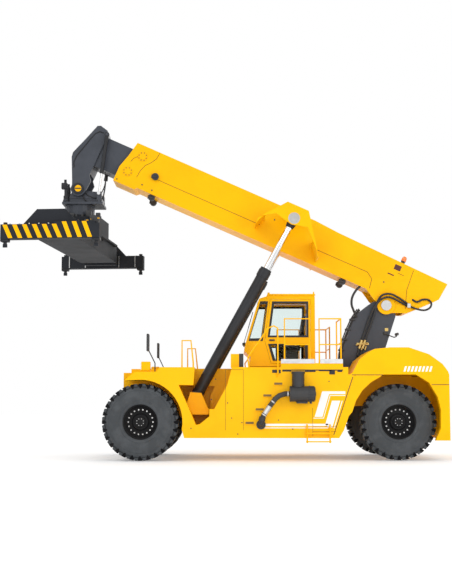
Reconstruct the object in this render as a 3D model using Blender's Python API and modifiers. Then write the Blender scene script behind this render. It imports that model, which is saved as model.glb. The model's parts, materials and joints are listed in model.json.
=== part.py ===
"""Reach stacker: a container handler with a telescopic boom and a 20/40 ft spreader.

Metres, +Z up, ground at Z 0. The boom points towards -X, so -X is the front of the machine
and -Y its left side. Places along X are counted from the middle of the wheelbase; an empty
shifts the whole machine so that its origin is the middle of its footprint.
Boom pieces are modelled in the boom's own frame: x along the boom from its pivot, z across it.
"""
import bpy
import bmesh
from math import atan2, cos, hypot, pi, radians, sin
from mathutils import Matrix, Vector

# ---- driving dimensions -------------------------------------------------------------------
WHEELBASE = 6.4
TYRE_RADIUS = 0.95
TYRE_WIDTH = 0.49
TWIN_GAP = 0.09            # between the two tyres of a front pair
FRONT_TRACK = 4.18         # over the outer faces of the front tyres
REAR_TRACK = 3.59          # over the outer faces of the rear tyres
RIM_RADIUS = 0.43
BODY_HALF = 2.05           # half the width over the side bodies
DECK_Z = 2.30              # walking surface
BODY_BOTTOM = 0.56
ARCH_CLEARANCE = 0.09      # between front tyre and its arch
FRAME_IN = 0.4153          # inner face of a frame rail
FRAME_OUT = 0.5997         # outer face of a frame rail
PIVOT_X = 3.12             # boom pivot
PIVOT_Z = 3.97
BOOM_ANGLE = 24.0          # degrees above level, as it stands
BOOM_HALF = 0.45           # half the width of the outer boom
BOOM_FRONT = 7.78          # end of the outer boom's top, along the boom
BOOM_BOTTOM = 0.20
BOOM_TOP = 1.32
BOOM_WALL = 0.025
INNER_HALF = 0.37
INNER_LOW = 0.29
INNER_HIGH = 1.13
INNER_FRONT = 8.60
INNER_LENGTH = 8.25
LIFT_Y = 1.20              # lift cylinders, off the middle
LIFT_BASE = (-1.87, 1.55)  # base pin, X and Z
LIFT_EYE_U = 3.13          # rod eye, along and across the boom
LIFT_EYE_V = 0.97
BARREL_RADIUS = 0.15
BARREL_LENGTH = 3.74
ROD_RADIUS = 0.085
HANG_U = 8.72              # pin that the spreader hangs on
HANG_V = -0.45
CAB_HALF = 0.80
CAB_WALL = 0.05
SPREADER_YAW = -6.0        # degrees, as it hangs
LOCK_WIDTH = 2.259         # between corner castings, across a container
LOCK_LENGTH_20 = 5.853     # between corner castings, along a 20 ft container
END_BEAM_LENGTH = 2.44
KINGPIN_Y = 1.25

GAP = 0.0003               # between pieces that touch
SEAT = 0.0005              # running gap at pins and slide pads
ROUND = 24                 # facets of a wheel

FRONT_X = -WHEELBASE / 2
REAR_X = WHEELBASE / 2
ANGLE = radians(BOOM_ANGLE)


def boom_to_world(u, v):
    """X and Z of a point given along and across the boom."""
    return (PIVOT_X - u * cos(ANGLE) + v * sin(ANGLE),
            PIVOT_Z + u * sin(ANGLE) + v * cos(ANGLE))


HANG_X, HANG_Z = boom_to_world(HANG_U, HANG_V)
EYE_X, EYE_Z = boom_to_world(LIFT_EYE_U, LIFT_EYE_V)
LIFT_ANGLE = atan2(EYE_Z - LIFT_BASE[1], EYE_X - LIFT_BASE[0])
LIFT_LENGTH = hypot(EYE_Z - LIFT_BASE[1], EYE_X - LIFT_BASE[0])

# ---- scene ----------------------------------------------------------------------------------
for old in list(bpy.data.objects):
    bpy.data.objects.remove(old, do_unlink=True)
MACHINE = bpy.data.collections.new("reach_stacker")
bpy.context.scene.collection.children.link(MACHINE)


def material(name, colour, roughness, metallic=0.0):
    finish = bpy.data.materials.new(name)
    finish.use_nodes = True
    shader = finish.node_tree.nodes["Principled BSDF"]
    shader.inputs["Base Color"].default_value = (*colour, 1.0)
    shader.inputs["Roughness"].default_value = roughness
    shader.inputs["Metallic"].default_value = metallic
    return finish


YELLOW = material("yellow_paint", (0.95, 0.55, 0.01), 0.35)
GREY = material("grey_paint", (0.08, 0.09, 0.10), 0.45)
BLACK = material("black_paint", (0.02, 0.02, 0.022), 0.4)
CHROME = material("chrome", (0.8, 0.8, 0.8), 0.12, 1.0)
RUBBER = material("tyre_rubber", (0.025, 0.025, 0.027), 0.85)
GLASS = material("tinted_glass", (0.25, 0.3, 0.3), 0.08)
FABRIC = material("seat_fabric", (0.03, 0.03, 0.035), 0.9)
AMBER = material("amber_lens", (0.95, 0.3, 0.02), 0.25)
IRON = material("cast_iron", (0.05, 0.05, 0.055), 0.6, 0.4)


def empty(name, location, rotation=(0, 0, 0), parent=None):
    marker = bpy.data.objects.new(name, None)
    marker.location = location
    marker.rotation_euler = rotation
    marker.parent = parent
    MACHINE.objects.link(marker)
    return marker


SPREADER_REACH = (END_BEAM_LENGTH / 2 * cos(radians(SPREADER_YAW))
                  + (LOCK_LENGTH_20 / 2 + 0.12) * sin(radians(-SPREADER_YAW)))
FRONT_END = HANG_X - SPREADER_REACH
REAR_END = boom_to_world(-1.26, 1.18)[0]
ROOT = empty("ground_centre", (-(FRONT_END + REAR_END) / 2, 0, 0))
BOOM = empty("boom_pivot", (PIVOT_X, 0, PIVOT_Z), (0, -ANGLE, pi), ROOT)
HANG = empty("hang_pin_axis", (HANG_X, 0, HANG_Z), parent=ROOT)
SLEW = empty("slew_axis", (HANG_X, 0, 0), (0, 0, radians(SPREADER_YAW)), ROOT)


# ---- shapes ---------------------------------------------------------------------------------
def piece(name, mesh, finish, parent=ROOT, location=(0, 0, 0), rotation=(0, 0, 0)):
    mesh.materials.clear()
    mesh.materials.append(finish)
    thing = bpy.data.objects.new(name, mesh)
    thing.parent = parent
    thing.location = location
    thing.rotation_euler = rotation
    MACHINE.objects.link(thing)
    return thing


def block(low, high):
    """A box between two corners, as a mesh."""
    low, high = Vector(low), Vector(high)
    mesh = bpy.data.meshes.new("block")
    bm = bmesh.new()
    bmesh.ops.create_cube(bm, size=1.0)
    bmesh.ops.scale(bm, verts=bm.verts, vec=high - low)
    bmesh.ops.translate(bm, verts=bm.verts, vec=(low + high) / 2)
    bm.to_mesh(mesh)
    bm.free()
    return mesh


def from_object(thing):
    """The welded mesh of a curve or of an object with modifiers, which is removed."""
    graph = bpy.context.evaluated_depsgraph_get()
    mesh = bpy.data.meshes.new_from_object(thing.evaluated_get(graph))
    bm = bmesh.new()
    bm.from_mesh(mesh)
    bmesh.ops.remove_doubles(bm, verts=bm.verts, dist=0.00001)
    bmesh.ops.recalc_face_normals(bm, faces=bm.faces)
    bm.to_mesh(mesh)
    bm.free()
    bpy.data.objects.remove(thing, do_unlink=True)
    return mesh


def prism(outline, y_low, y_high):
    """A flat outline of X, Z points, as thick as the span along Y."""
    curve = bpy.data.curves.new("outline", "CURVE")
    curve.dimensions = "2D"
    curve.fill_mode = "BOTH"
    curve.extrude = (y_high - y_low) / 2
    spline = curve.splines.new("POLY")
    spline.points.add(len(outline) - 1)
    for point, (x, z) in zip(spline.points, outline):
        point.co = (x, z, 0, 1)
    spline.use_cyclic_u = True
    thing = bpy.data.objects.new("outline", curve)
    MACHINE.objects.link(thing)
    mesh = from_object(thing)
    mesh.transform(Matrix.Translation((0, (y_low + y_high) / 2, 0)) @ Matrix.Rotation(pi / 2, 4, "X"))
    return mesh


def turned(profile, steps=ROUND):
    """A profile of radius and Y points, turned about the Y axis."""
    mesh = bpy.data.meshes.new("profile")
    bm = bmesh.new()
    ring = [bm.verts.new((radius, 0, along)) for radius, along in profile]
    for first, second in zip(ring, ring[1:]):
        bm.edges.new((first, second))
    if profile[0][0] > 0:
        bm.edges.new((ring[-1], ring[0]))
    bm.to_mesh(mesh)
    bm.free()
    thing = bpy.data.objects.new("profile", mesh)
    MACHINE.objects.link(thing)
    screw = thing.modifiers.new("turn", "SCREW")
    screw.steps = steps
    screw.render_steps = steps
    screw.use_merge_vertices = True
    screw.merge_threshold = 0.00001
    mesh = from_object(thing)
    mesh.transform(Matrix.Rotation(-pi / 2, 4, "X"))
    return mesh


def rod(start, end, radius, sides=12, twist=0.0):
    """A straight round bar between two points."""
    start, end = Vector(start), Vector(end)
    mesh = bpy.data.meshes.new("rod")
    bm = bmesh.new()
    bmesh.ops.create_cone(bm, cap_ends=True, segments=sides, radius1=radius, radius2=radius,
                          depth=(end - start).length)
    turn = (end - start).to_track_quat("Z", "Y").to_matrix().to_4x4() @ Matrix.Rotation(twist, 4, "Z")
    bmesh.ops.transform(bm, matrix=Matrix.Translation((start + end) / 2) @ turn, verts=bm.verts)
    bm.to_mesh(mesh)
    bm.free()
    return mesh


def tube(points, radius, sides_level=1):
    """A bent round bar along straight runs."""
    curve = bpy.data.curves.new("tube", "CURVE")
    curve.dimensions = "3D"
    curve.bevel_depth = radius
    curve.bevel_resolution = sides_level
    curve.use_fill_caps = True
    spline = curve.splines.new("POLY")
    spline.points.add(len(points) - 1)
    for point, place in zip(spline.points, points):
        point.co = (*place, 1)
    thing = bpy.data.objects.new("tube", curve)
    MACHINE.objects.link(thing)
    return from_object(thing)


def arc(centre, radius, first, last, count):
    """Points on an arc, in degrees from +X towards +Z."""
    for index in range(count + 1):
        angle = radians(first + (last - first) * index / count)
        yield (centre[0] + radius * cos(angle), centre[1] + radius * sin(angle))


def bore_radius(pin, sides):
    """A faceted hole's corner radius, so that its flats clear a pin by the running gap."""
    return (pin + SEAT) / cos(pi / sides)


def hole(start, end, pin, sides):
    """A cutter for a bore whose flats face the corners of a faceted pin."""
    return rod(start, end, bore_radius(pin, sides), sides, pi / sides)


def combine(base, others, operation):
    """The base mesh joined with, or cut by, other meshes."""
    for other in others:
        thing = bpy.data.objects.new("base", base)
        helper = bpy.data.objects.new("helper", other)
        MACHINE.objects.link(thing)
        MACHINE.objects.link(helper)
        step = thing.modifiers.new("step", "BOOLEAN")
        step.operation = operation
        step.object = helper
        base = from_object(thing)
        bpy.data.objects.remove(helper, do_unlink=True)
    return base


def join(base, *others):
    return combine(base, others, "UNION")


def cut(base, *others):
    return combine(base, others, "DIFFERENCE")


def bevelled(mesh, width, segments=2, angle=40):
    """The mesh with its sharp edges rounded."""
    thing = bpy.data.objects.new("sharp", mesh)
    MACHINE.objects.link(thing)
    rounding = thing.modifiers.new("rounding", "BEVEL")
    rounding.width = width
    rounding.segments = segments
    rounding.limit_method = "ANGLE"
    rounding.angle_limit = radians(angle)
    return from_object(thing)


def mirrored(mesh):
    """The same mesh on the other side of the machine."""
    other = mesh.copy()
    other.transform(Matrix.Scale(-1, 4, (0, 1, 0)))
    other.flip_normals()
    return other


def pair(name, mesh, finish, parent=ROOT):
    """A left piece at -Y and its mirror image at +Y."""
    other = mirrored(mesh)
    piece("left_" + name, mesh, finish, parent)
    piece("right_" + name, other, finish, parent)

# ---- chassis --------------------------------------------------------------------------------
def chassis():
    rail = [(-3.75, 1.35), (-3.75, 2.20), (1.86, 2.20), (1.86, 2.1195), (3.75, 2.1195),
            (3.75, 1.36), (2.10, 1.34), (1.80, 0.62), (-1.95, 0.62), (-2.35, 1.19), (-3.2, 1.19)]
    left = prism(rail, -FRAME_OUT, -FRAME_IN)
    ties = [block((x, -FRAME_IN - 0.05, low), (x + 0.11, FRAME_IN + 0.05, high))
            for x, low, high in ((-3.72, 1.40, 2.15), (-1.95, 1.22, 1.60), (1.40, 0.66, 0.90),
                                 (3.60, 1.40, 2.05))]
    trunnion = block((REAR_X - 0.18, -FRAME_IN - 0.05, 1.20), (REAR_X + 0.18, FRAME_IN + 0.05, 1.42))
    brackets = []
    base_x, base_z = LIFT_BASE
    for side in (-1, 1):
        for inner in (LIFT_Y - 0.30, LIFT_Y + 0.17):
            ear = prism([(base_x - 0.25, base_z - 0.30), (base_x + 0.34, base_z - 0.30),
                         (base_x + 0.16, base_z + 0.12), (base_x - 0.12, base_z + 0.14)], 0, 0.13)
            ear.transform(Matrix.Translation((0, side * inner if side > 0 else -inner - 0.13, 0)))
            brackets.append(ear)
        brackets.append(block((base_x - 0.26, min(side * 0.55, side * (LIFT_Y + 0.31)), base_z - 0.42),
                              (base_x + 0.35, max(side * 0.55, side * (LIFT_Y + 0.31)), base_z - 0.27)))
        brackets.append(rod((base_x, side * (LIFT_Y - 0.20), base_z),
                        (base_x, side * (LIFT_Y + 0.20), base_z), 0.09))
    piece("chassis_frame",
          join(left, mirrored(prism(rail, -FRAME_OUT, -FRAME_IN)), *ties, trunnion, *brackets), YELLOW)
    engine = block((0.25, -FRAME_IN + GAP, 0.72), (1.36, FRAME_IN - GAP, 1.75))
    shaft = rod((FRONT_X + 0.5202, 0, 0.97), (-1.0, 0, 0.97), 0.06)
    gearbox = block((-1.02, -0.36, 0.75), (0.26, 0.36, 1.45))
    piece("engine_and_gearbox", join(engine, gearbox, shaft), IRON)
    deck = block((-3.55, -FRAME_OUT, 2.20 + GAP), (1.83, FRAME_OUT, DECK_Z))
    cab_mounting = block((-0.30, -0.55, DECK_Z - 0.01), (1.15, 0.55, CAB_FLOOR - GAP))
    piece("centre_deck", join(deck, cab_mounting), YELLOW)


def side_bodies(fittings):
    """Fender, tank and cabinet in one closed body each side, with the lift cylinder's pocket."""
    arch = ARCH_CLEARANCE + TYRE_RADIUS
    outline = [(-3.60, 1.97), (-3.36, 2.18), (-2.81, 2.19), (-2.72, DECK_Z), (1.93, DECK_Z),
               (1.93, 2.1197), (2.09, 2.1197),
               (2.09, 2.07), (1.53, BODY_BOTTOM), (-2.12, BODY_BOTTOM)]
    outline += list(arc((FRONT_X, TYRE_RADIUS), arch, -10, 92, 14))
    body = prism(outline, -BODY_HALF, -FRAME_OUT - GAP)
    base_z = LIFT_BASE[1]
    pocket = prism([(-2.26, 1.86), (-1.90, 1.86), (-1.86, DECK_Z + 0.1), (-0.92, DECK_Z + 0.1),
                   (-1.06, 1.86),
                    (-1.38, base_z - 0.28), (-1.50, base_z - 0.28), (-1.50, base_z - 0.46),
                    (-1.74, 0.90), (-1.83, 0.88)], -BODY_HALF - 0.1, -LIFT_Y + 0.34)
    inner_pocket = prism([(-2.20, 1.85), (-1.38, 1.85), (-1.49, 1.60), (-1.49, base_z - 0.43),
                         (-2.15, base_z - 0.43)],
                         -LIFT_Y - 0.33, -0.5)
    arch_inside = block((-4, -1.04, 0.4), (-2.16, -0.5, 1.99))
    body = cut(body, pocket, inner_pocket, arch_inside)
    pair("side_body", join(body, *fittings), YELLOW)


def rear_body():
    hump = [(1.96, 2.12), (2.03, 2.16), (2.21, 2.49), (2.42, 2.66), (2.59, 2.75), (2.97, 2.79),
            (3.43, 2.79),
            (3.93, 2.62), (4.26, 2.38), (4.39, 2.20), (4.42, 2.12)]
    hood = prism(hump, -BODY_HALF, BODY_HALF)
    tower_slot = block((1.5, -0.60, 1.9), (3.46, 0.60, 3.0))
    flange = [(2.1145, 2.13), (1.5315, BODY_BOTTOM), (1.69, BODY_BOTTOM), (1.81, 0.76), (1.93, 1.10)]
    flange += [(REAR_X - 1.21 * cos(radians(a)), TYRE_RADIUS + 1.21 * sin(radians(a))) for a in (12, 26,
               40, 54, 66)]
    flange += [(2.80, 2.13)]
    skirts = [prism(flange, -BODY_HALF, -BODY_HALF + 0.20), prism(flange, BODY_HALF - 0.20, BODY_HALF)]
    hood = cut(join(hood, *skirts), tower_slot)
    piece("rear_hood", hood, YELLOW)

    inner = [(4.42, BODY_BOTTOM - 0.06), (4.42, 2.1197), (3.60, 2.1197), (3.92, 1.92), (4.13, 1.56),
             (4.20, 1.24),
             (4.19, 0.80), (4.06, BODY_BOTTOM - 0.06)]
    centre = block((3.7503, -FRAME_OUT, 0.62), (4.35, FRAME_OUT, 2.10))
    wall = prism([(4.32, 0.52), (4.40, 0.52), (4.41, 2.11), (4.20, 2.11), (4.20, 2.0)],
                 -BODY_HALF + 0.01, BODY_HALF - 0.01)
    sides = [prism(inner, -BODY_HALF, -BODY_HALF + 0.17), prism(inner, BODY_HALF - 0.17, BODY_HALF)]
    piece("counterweight", join(wall, centre, *sides), YELLOW)


def tower():
    """Two plates between the rails, tied by webs, with a round head for the boom's pivot."""
    head = list(arc((PIVOT_X, PIVOT_Z), 0.185, 120, 20, 6))
    outline = [(1.90, 1.60), (1.90, 2.21), (1.94, 2.76), (2.32, 3.72), (2.76, 4.06)] + head
    outline += [(3.37, 3.75), (3.37, 3.68), (3.10, 2.87), (3.06, 1.60)]
    half = FRAME_IN - GAP
    plates = [prism(outline, -half, -half + 0.07), prism(outline, half - 0.07, half)]
    front_web = prism([(2.10, 1.70), (2.14, 2.75), (2.50, 3.62), (2.58, 3.58), (2.22, 2.75),
                      (2.18, 1.70)], -half + 0.05, half - 0.05)
    rear_web = prism([(2.98, 1.70), (3.02, 2.85), (3.28, 3.66), (3.34, 3.64), (3.08, 2.85),
                     (3.04, 1.70)], -half + 0.05, half - 0.05)
    collar = rod((PIVOT_X, -half + 0.05, PIVOT_Z), (PIVOT_X, half - 0.05, PIVOT_Z), 0.175, 20)
    bore = hole((PIVOT_X, -1, PIVOT_Z), (PIVOT_X, 1, PIVOT_Z), 0.11, 20)
    piece("boom_tower", cut(join(*plates, front_web, rear_web, collar), bore), GREY)
    pin = rod((PIVOT_X, -0.50, PIVOT_Z), (PIVOT_X, 0.50, PIVOT_Z), 0.11, 20)
    caps = [rod((PIVOT_X, side * 0.4905, PIVOT_Z), (PIVOT_X, side * 0.53, PIVOT_Z), 0.135,
            16) for side in (-1, 1)]
    piece("boom_pivot_pin", join(pin, *caps), CHROME)


# ---- axles and wheels -----------------------------------------------------------------------
SPINDLE = 0.15
REAR_SPINDLE = 0.12


def front_axle():
    face = FRONT_TRACK / 2 - 2 * TYRE_WIDTH - TWIN_GAP - 0.03
    housing = rod((FRONT_X, -face, TYRE_RADIUS), (FRONT_X, face, TYRE_RADIUS), 0.238, 16)
    bowl = turned([(0, 0.40), (0.25, 0.36), (0.40, 0.18), (0.42, 0), (0.40, -0.18), (0.25, -0.36),
                  (0, -0.40)], 16)
    bowl.transform(Matrix.Translation((FRONT_X + 0.1, 0, TYRE_RADIUS)))
    ends = FRONT_TRACK / 2 - 0.20
    spindle = rod((FRONT_X, -ends, TYRE_RADIUS), (FRONT_X, ends, TYRE_RADIUS), SPINDLE, ROUND, pi / ROUND)
    piece("front_axle", join(housing, bowl, spindle), IRON)


def rear_axle():
    beam = prism([(REAR_X - 0.16, 0.80), (REAR_X + 0.16, 0.80), (REAR_X + 0.16, 1.12),
                 (REAR_X - 0.16, 1.12)], -1.06, 1.06)
    seat = block((REAR_X - 0.12, -0.35, 1.0), (REAR_X + 0.12, 0.35, 1.20 - GAP))
    forks = []
    for side in (-1, 1):
        for level in (0.1705, -0.26):
            arm = block((REAR_X - 0.10, min(side * 0.95, side * KINGPIN_Y), TYRE_RADIUS + level),
                        (REAR_X + 0.10, max(side * 0.95, side * KINGPIN_Y), TYRE_RADIUS + level + 0.0895))
            end = rod((REAR_X, side * KINGPIN_Y, TYRE_RADIUS + level),
                      (REAR_X, side * KINGPIN_Y, TYRE_RADIUS + level + 0.0895), 0.10)
            forks += [arm, end]
        forks.append(block((REAR_X - 0.14, min(side * 0.90, side * 1.08), TYRE_RADIUS - 0.26),
                           (REAR_X + 0.14, max(side * 0.90, side * 1.08), TYRE_RADIUS + 0.26)))
    steering_cylinder = rod((REAR_X + 0.26, -0.45, 0.93), (REAR_X + 0.26, 0.45, 0.93), 0.07)
    clamps = [block((REAR_X + 0.10, y - 0.04, 0.86), (REAR_X + 0.28, y + 0.04, 1.0)) for y in (-0.3, 0.3)]
    piece("rear_axle", join(beam, seat, *forks, steering_cylinder, *clamps), IRON)
    for name, side in (("left", -1), ("right", 1)):
        knuckle = rod((0, 0, -0.17), (0, 0, 0.17), 0.095)
        spindle = rod((0, 0, 0), (0, side * (REAR_TRACK / 2 - KINGPIN_Y - 0.10), 0), REAR_SPINDLE,
                      ROUND, pi / ROUND)
        pivot = empty(name + "_kingpin", (REAR_X, side * KINGPIN_Y, TYRE_RADIUS), parent=ROOT)
        piece(name + "_knuckle", join(knuckle, spindle), IRON, pivot)


def tyre_mesh(outer_y):
    """A tyre whose outer face is at outer_y, on the left; its tread blocks are surface detail."""
    w, r = TYRE_WIDTH, TYRE_RADIUS
    rim = RIM_RADIUS + GAP
    shape = [(rim, 0.04), (rim + 0.20, 0), (r - 0.13, 0.01), (r - 0.02, 0.07), (r, w / 2)]
    profile = [(radius, along) for radius, along in shape]
    profile += [(radius, w - along) for radius, along in reversed(shape[:-1])]
    mesh = turned([(radius, -outer_y + along) for radius, along in reversed(profile)])
    return mesh


def rim_mesh(outer_y, width, disc_y, hub_in, hub_out, spindle):
    """A wheel's barrel, disc and capped hub; distances run inwards from the outer face."""
    bore = bore_radius(spindle, ROUND)
    shell = RIM_RADIUS - 0.03
    profile = [(0, hub_out), (0.14, hub_out), (0.19, hub_out + 0.05), (0.20, disc_y), (shell, disc_y),
               (shell, 0.03),
               (RIM_RADIUS + 0.0, 0.03), (RIM_RADIUS, width - 0.03), (shell, width - 0.03), (shell,
                                                                                             disc_y + 0.05),
               (0.26, disc_y + 0.05), (0.26, hub_in), (bore, hub_in), (bore, hub_out + 0.06), (0,
                                                                                               hub_out + 0.06)]
    return turned([(radius, -outer_y + along) for radius, along in profile])


def wheels():
    front = FRONT_TRACK / 2
    rear = REAR_TRACK / 2
    for name, side in (("left", -1), ("right", 1)):
        flip = (lambda mesh: mesh) if side < 0 else mirrored
        hub = empty(name + "_front_hub", (FRONT_X, 0, TYRE_RADIUS), parent=ROOT)
        piece(name + "_front_outer_tyre", flip(tyre_mesh(front)), RUBBER, hub)
        piece(name + "_front_inner_tyre", flip(tyre_mesh(front - TYRE_WIDTH - TWIN_GAP)), RUBBER, hub)
        width = 2 * TYRE_WIDTH + TWIN_GAP
        piece(name + "_front_rim", flip(rim_mesh(front, width, 0.22, 0.62, 0.06, SPINDLE)), BLACK, hub)
        hub = empty(name + "_rear_hub", (REAR_X, 0, TYRE_RADIUS), parent=ROOT)
        piece(name + "_rear_tyre", flip(tyre_mesh(rear)), RUBBER, hub)
        piece(name + "_rear_rim", flip(rim_mesh(rear, TYRE_WIDTH, 0.20, 0.30, 0.02, REAR_SPINDLE)),
              BLACK, hub)


# ---- cab ------------------------------------------------------------------------------------
CAB_FLOOR = 2.36
HINGE_Y = CAB_HALF + 0.016    # door hinge line, outside the cab's side
CAB_SIDE = [(-0.23, 4.12), (0.02, 4.20), (1.20, 4.21), (1.22, 4.16), (1.22, CAB_FLOOR),
            (-0.50, CAB_FLOOR), (-0.45, 2.60),
            (-0.61, 2.75), (-0.59, 2.93)]
DOOR = [(0.06, 4.10), (1.10, 4.10), (1.10, 2.44), (0.08, 2.44), (-0.08, 3.02)]


def grown(outline, by):
    """A convex clockwise outline moved outwards by a distance."""
    grown_points = []
    count = len(outline)
    for index in range(count):
        before, here, after = (Vector(outline[(index + step) % count]) for step in (-1, 0, 1))
        first, second = (here - before).normalized(), (after - here).normalized()
        normal = Vector((-first.y, first.x)) + Vector((-second.y, second.x))
        normal.normalize()
        share = normal.dot(Vector((-first.y, first.x)))
        grown_points.append(tuple(here + normal * by / share))
    return grown_points


def cab():
    inside = [(-0.18, 4.07), (0.03, 4.15), (1.22 - CAB_WALL, 4.15),
              (1.22 - CAB_WALL, CAB_FLOOR + CAB_WALL),
              (-0.44, CAB_FLOOR + CAB_WALL), (-0.40, 2.62), (-0.545, 2.77), (-0.53, 2.93)]
    shell = prism(CAB_SIDE, -CAB_HALF, CAB_HALF)
    room = prism(inside, -CAB_HALF + CAB_WALL, CAB_HALF - CAB_WALL)
    door_holes = prism(grown(DOOR, 0.008), -CAB_HALF - 0.1, CAB_HALF + 0.1)
    windscreen = prism([(-0.26, 4.05), (-0.61, 2.98), (-0.40, 2.98), (-0.05, 4.05)], -CAB_HALF + 0.09,
                       CAB_HALF - 0.09)
    rear = block((1.1, -0.62, 3.05), (1.4, 0.62, 4.02))
    quarters = prism([(-0.195, 4.04), (0.0, 4.04), (-0.14, 3.03), (-0.50, 3.03)], -CAB_HALF - 0.1, CAB_HALF + 0.1)
    barrels = (2.64, 3.86)
    knuckle = [join(rod((1.10, -HINGE_Y, z + 0.0605), (1.10, -HINGE_Y, z + 0.10), 0.014, 8),
                    block((1.10, -0.826, z + 0.063), (1.15, -0.803, z + 0.098)),
                    block((1.12, -0.824, z + 0.065), (1.145, -0.795, z + 0.096))) for z in barrels]
    shell = join(cut(shell, door_holes, windscreen, rear, room, quarters), *knuckle,
                 *[mirrored(part) for part in knuckle])
    piece("cab_shell", shell, YELLOW)
    glass_outline = [(-0.262, 4.045), (-0.6035, 2.985), (-0.5935, 2.985), (-0.252, 4.045)]
    piece("windscreen", prism(glass_outline, -CAB_HALF + 0.0903, CAB_HALF - 0.0903), GLASS)
    piece("rear_window", block((1.185, -0.6197, 3.0503), (1.195, 0.6197, 4.0197)), GLASS)

    upper = [(0.12, 4.04), (1.04, 4.04), (1.04, 3.12), (0.00, 3.12)]
    lower = [(0.01, 2.94), (1.02, 2.94), (1.02, 2.51), (0.13, 2.51)]
    leaf = prism(DOOR, -CAB_HALF, -CAB_HALF + 0.04)
    leaf = cut(leaf, prism(upper, -1, -0.5), prism(lower, -1, -0.5))
    for z in barrels:
        leaf = join(leaf, rod((1.10, -HINGE_Y, z), (1.10, -HINGE_Y, z + 0.06), 0.014, 8),
                    block((1.06, -0.826, z + 0.003), (1.097, -0.78, z + 0.057)))
    for side, name in ((-1, "left"), (1, "right")):
        hinge = empty(name + "_door_hinge", (1.10, side * HINGE_Y, 0), parent=ROOT)
        mesh = leaf.copy() if side < 0 else mirrored(leaf)
        mesh.transform(Matrix.Translation((-1.10, -side * HINGE_Y, 0)))
        piece(name + "_cab_door", mesh, YELLOW, hinge)

    floor = CAB_FLOOR + CAB_WALL
    stand = block((0.42, -0.22, floor + GAP), (0.82, 0.22, 2.80 - GAP))
    console = block((0.25, 0.27, floor + GAP), (0.75, 0.42, 3.06))
    bridge = block((0.45, 0.20, floor + GAP), (0.70, 0.30, 2.60))
    piece("seat_stand", join(stand, console, bridge), BLACK)
    piece("seat_cushion", bevelled(block((0.30, -0.26, 2.80), (0.88, 0.26, 2.94)), 0.03), FABRIC)
    back = prism([(0.80, 2.9403), (0.92, 2.9403), (1.06, 3.72), (0.96, 3.74)], -0.25, 0.25)
    piece("seat_back", bevelled(back, 0.03), FABRIC)
    column = prism([(-0.30, floor + GAP), (-0.16, floor + GAP), (0.09, 3.05), (0.03, 3.10),
                   (-0.10, 2.95)], -0.045, 0.045)
    wheel = turned([(0.20, 0.016), (0.184, 0), (0.20, -0.016), (0.216, 0)], 16)
    spokes = [rod((-0.19, 0, 0), (0.19, 0, 0), 0.014, 8), rod((0, -0.03, 0), (0, 0.03, 0), 0.05, 12)]
    wheel = join(wheel, *spokes)
    wheel.transform(Matrix.Translation((0.04, 0, 3.08)) @ Matrix.Rotation(radians(125), 4, "Y") @ Matrix.Rotation(pi / 2, 4, "Z"))
    piece("steering_wheel", join(column, wheel), BLACK)


# ---- platforms and fittings ---------------------------------------------------------------------
def rail_frame(points, radius=0.02):
    return tube(points, radius)


def platforms():
    """Walkway beside each cab door with its rails, and the steps up to it."""
    edge = -BODY_HALF
    top = DECK_Z + 0.10
    deck = block((0.27, edge, DECK_Z + GAP), (1.80, -0.83, top))
    y = edge + 0.03
    low, mid, high = top - 0.03, 2.86, 3.50
    rails = [rail_frame([(0.36, y, low), (0.36, y, high), (0.99, y, high), (0.99, y, low)]),
             rail_frame([(1.22, y, low), (1.22, y, high), (1.76, y, high), (1.76, -0.95, high),
                        (1.76, -0.95, low)]),
             rod((0.363, y, mid), (0.987, y, mid), 0.015, 8),
             rod((1.223, y, mid), (1.757, y, mid), 0.015, 8),
             rod((1.757, y + 0.002, low + 0.01), (1.757, y + 0.002, high - 0.003), 0.018, 8),
             rod((1.757, y + 0.003, mid + 0.04), (1.757, -0.953, mid + 0.04), 0.015, 8)]
    pair("platform", join(deck, *rails), YELLOW)
    out = edge - 0.045
    stair = rail_frame([(-0.52, edge + 0.02, 2.20), (-0.55, out, 2.54), (-0.05, out, 3.26),
                       (0.09, out, 3.32), (0.19, out, 3.26),
                        (0.19, out, 2.14), (0.15, edge + 0.02, 2.05)])
    handrail = rail_frame([(-2.18, edge + 0.06, DECK_Z - 0.05), (-2.18, edge + 0.06, 2.96),
                          (-1.96, edge + 0.06, 2.96),
                           (-1.90, edge + 0.06, 2.40), (-1.90, edge + 0.06, DECK_Z - 0.05)])
    legs = [rail_frame([(x, out, 0.90), (x, out, 0.44)]) for x in (0.90, 1.46)]
    feet = [rod((x, out, 0.82), (x, edge + 0.02, 0.82), 0.02, 8) for x in (0.90, 1.46)]
    treads = [block((0.87, out - 0.05, z), (1.49, out + 0.03, z + 0.03)) for z in (0.46, 0.66)]
    return [stair, handrail, *legs, *feet, *treads]


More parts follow.
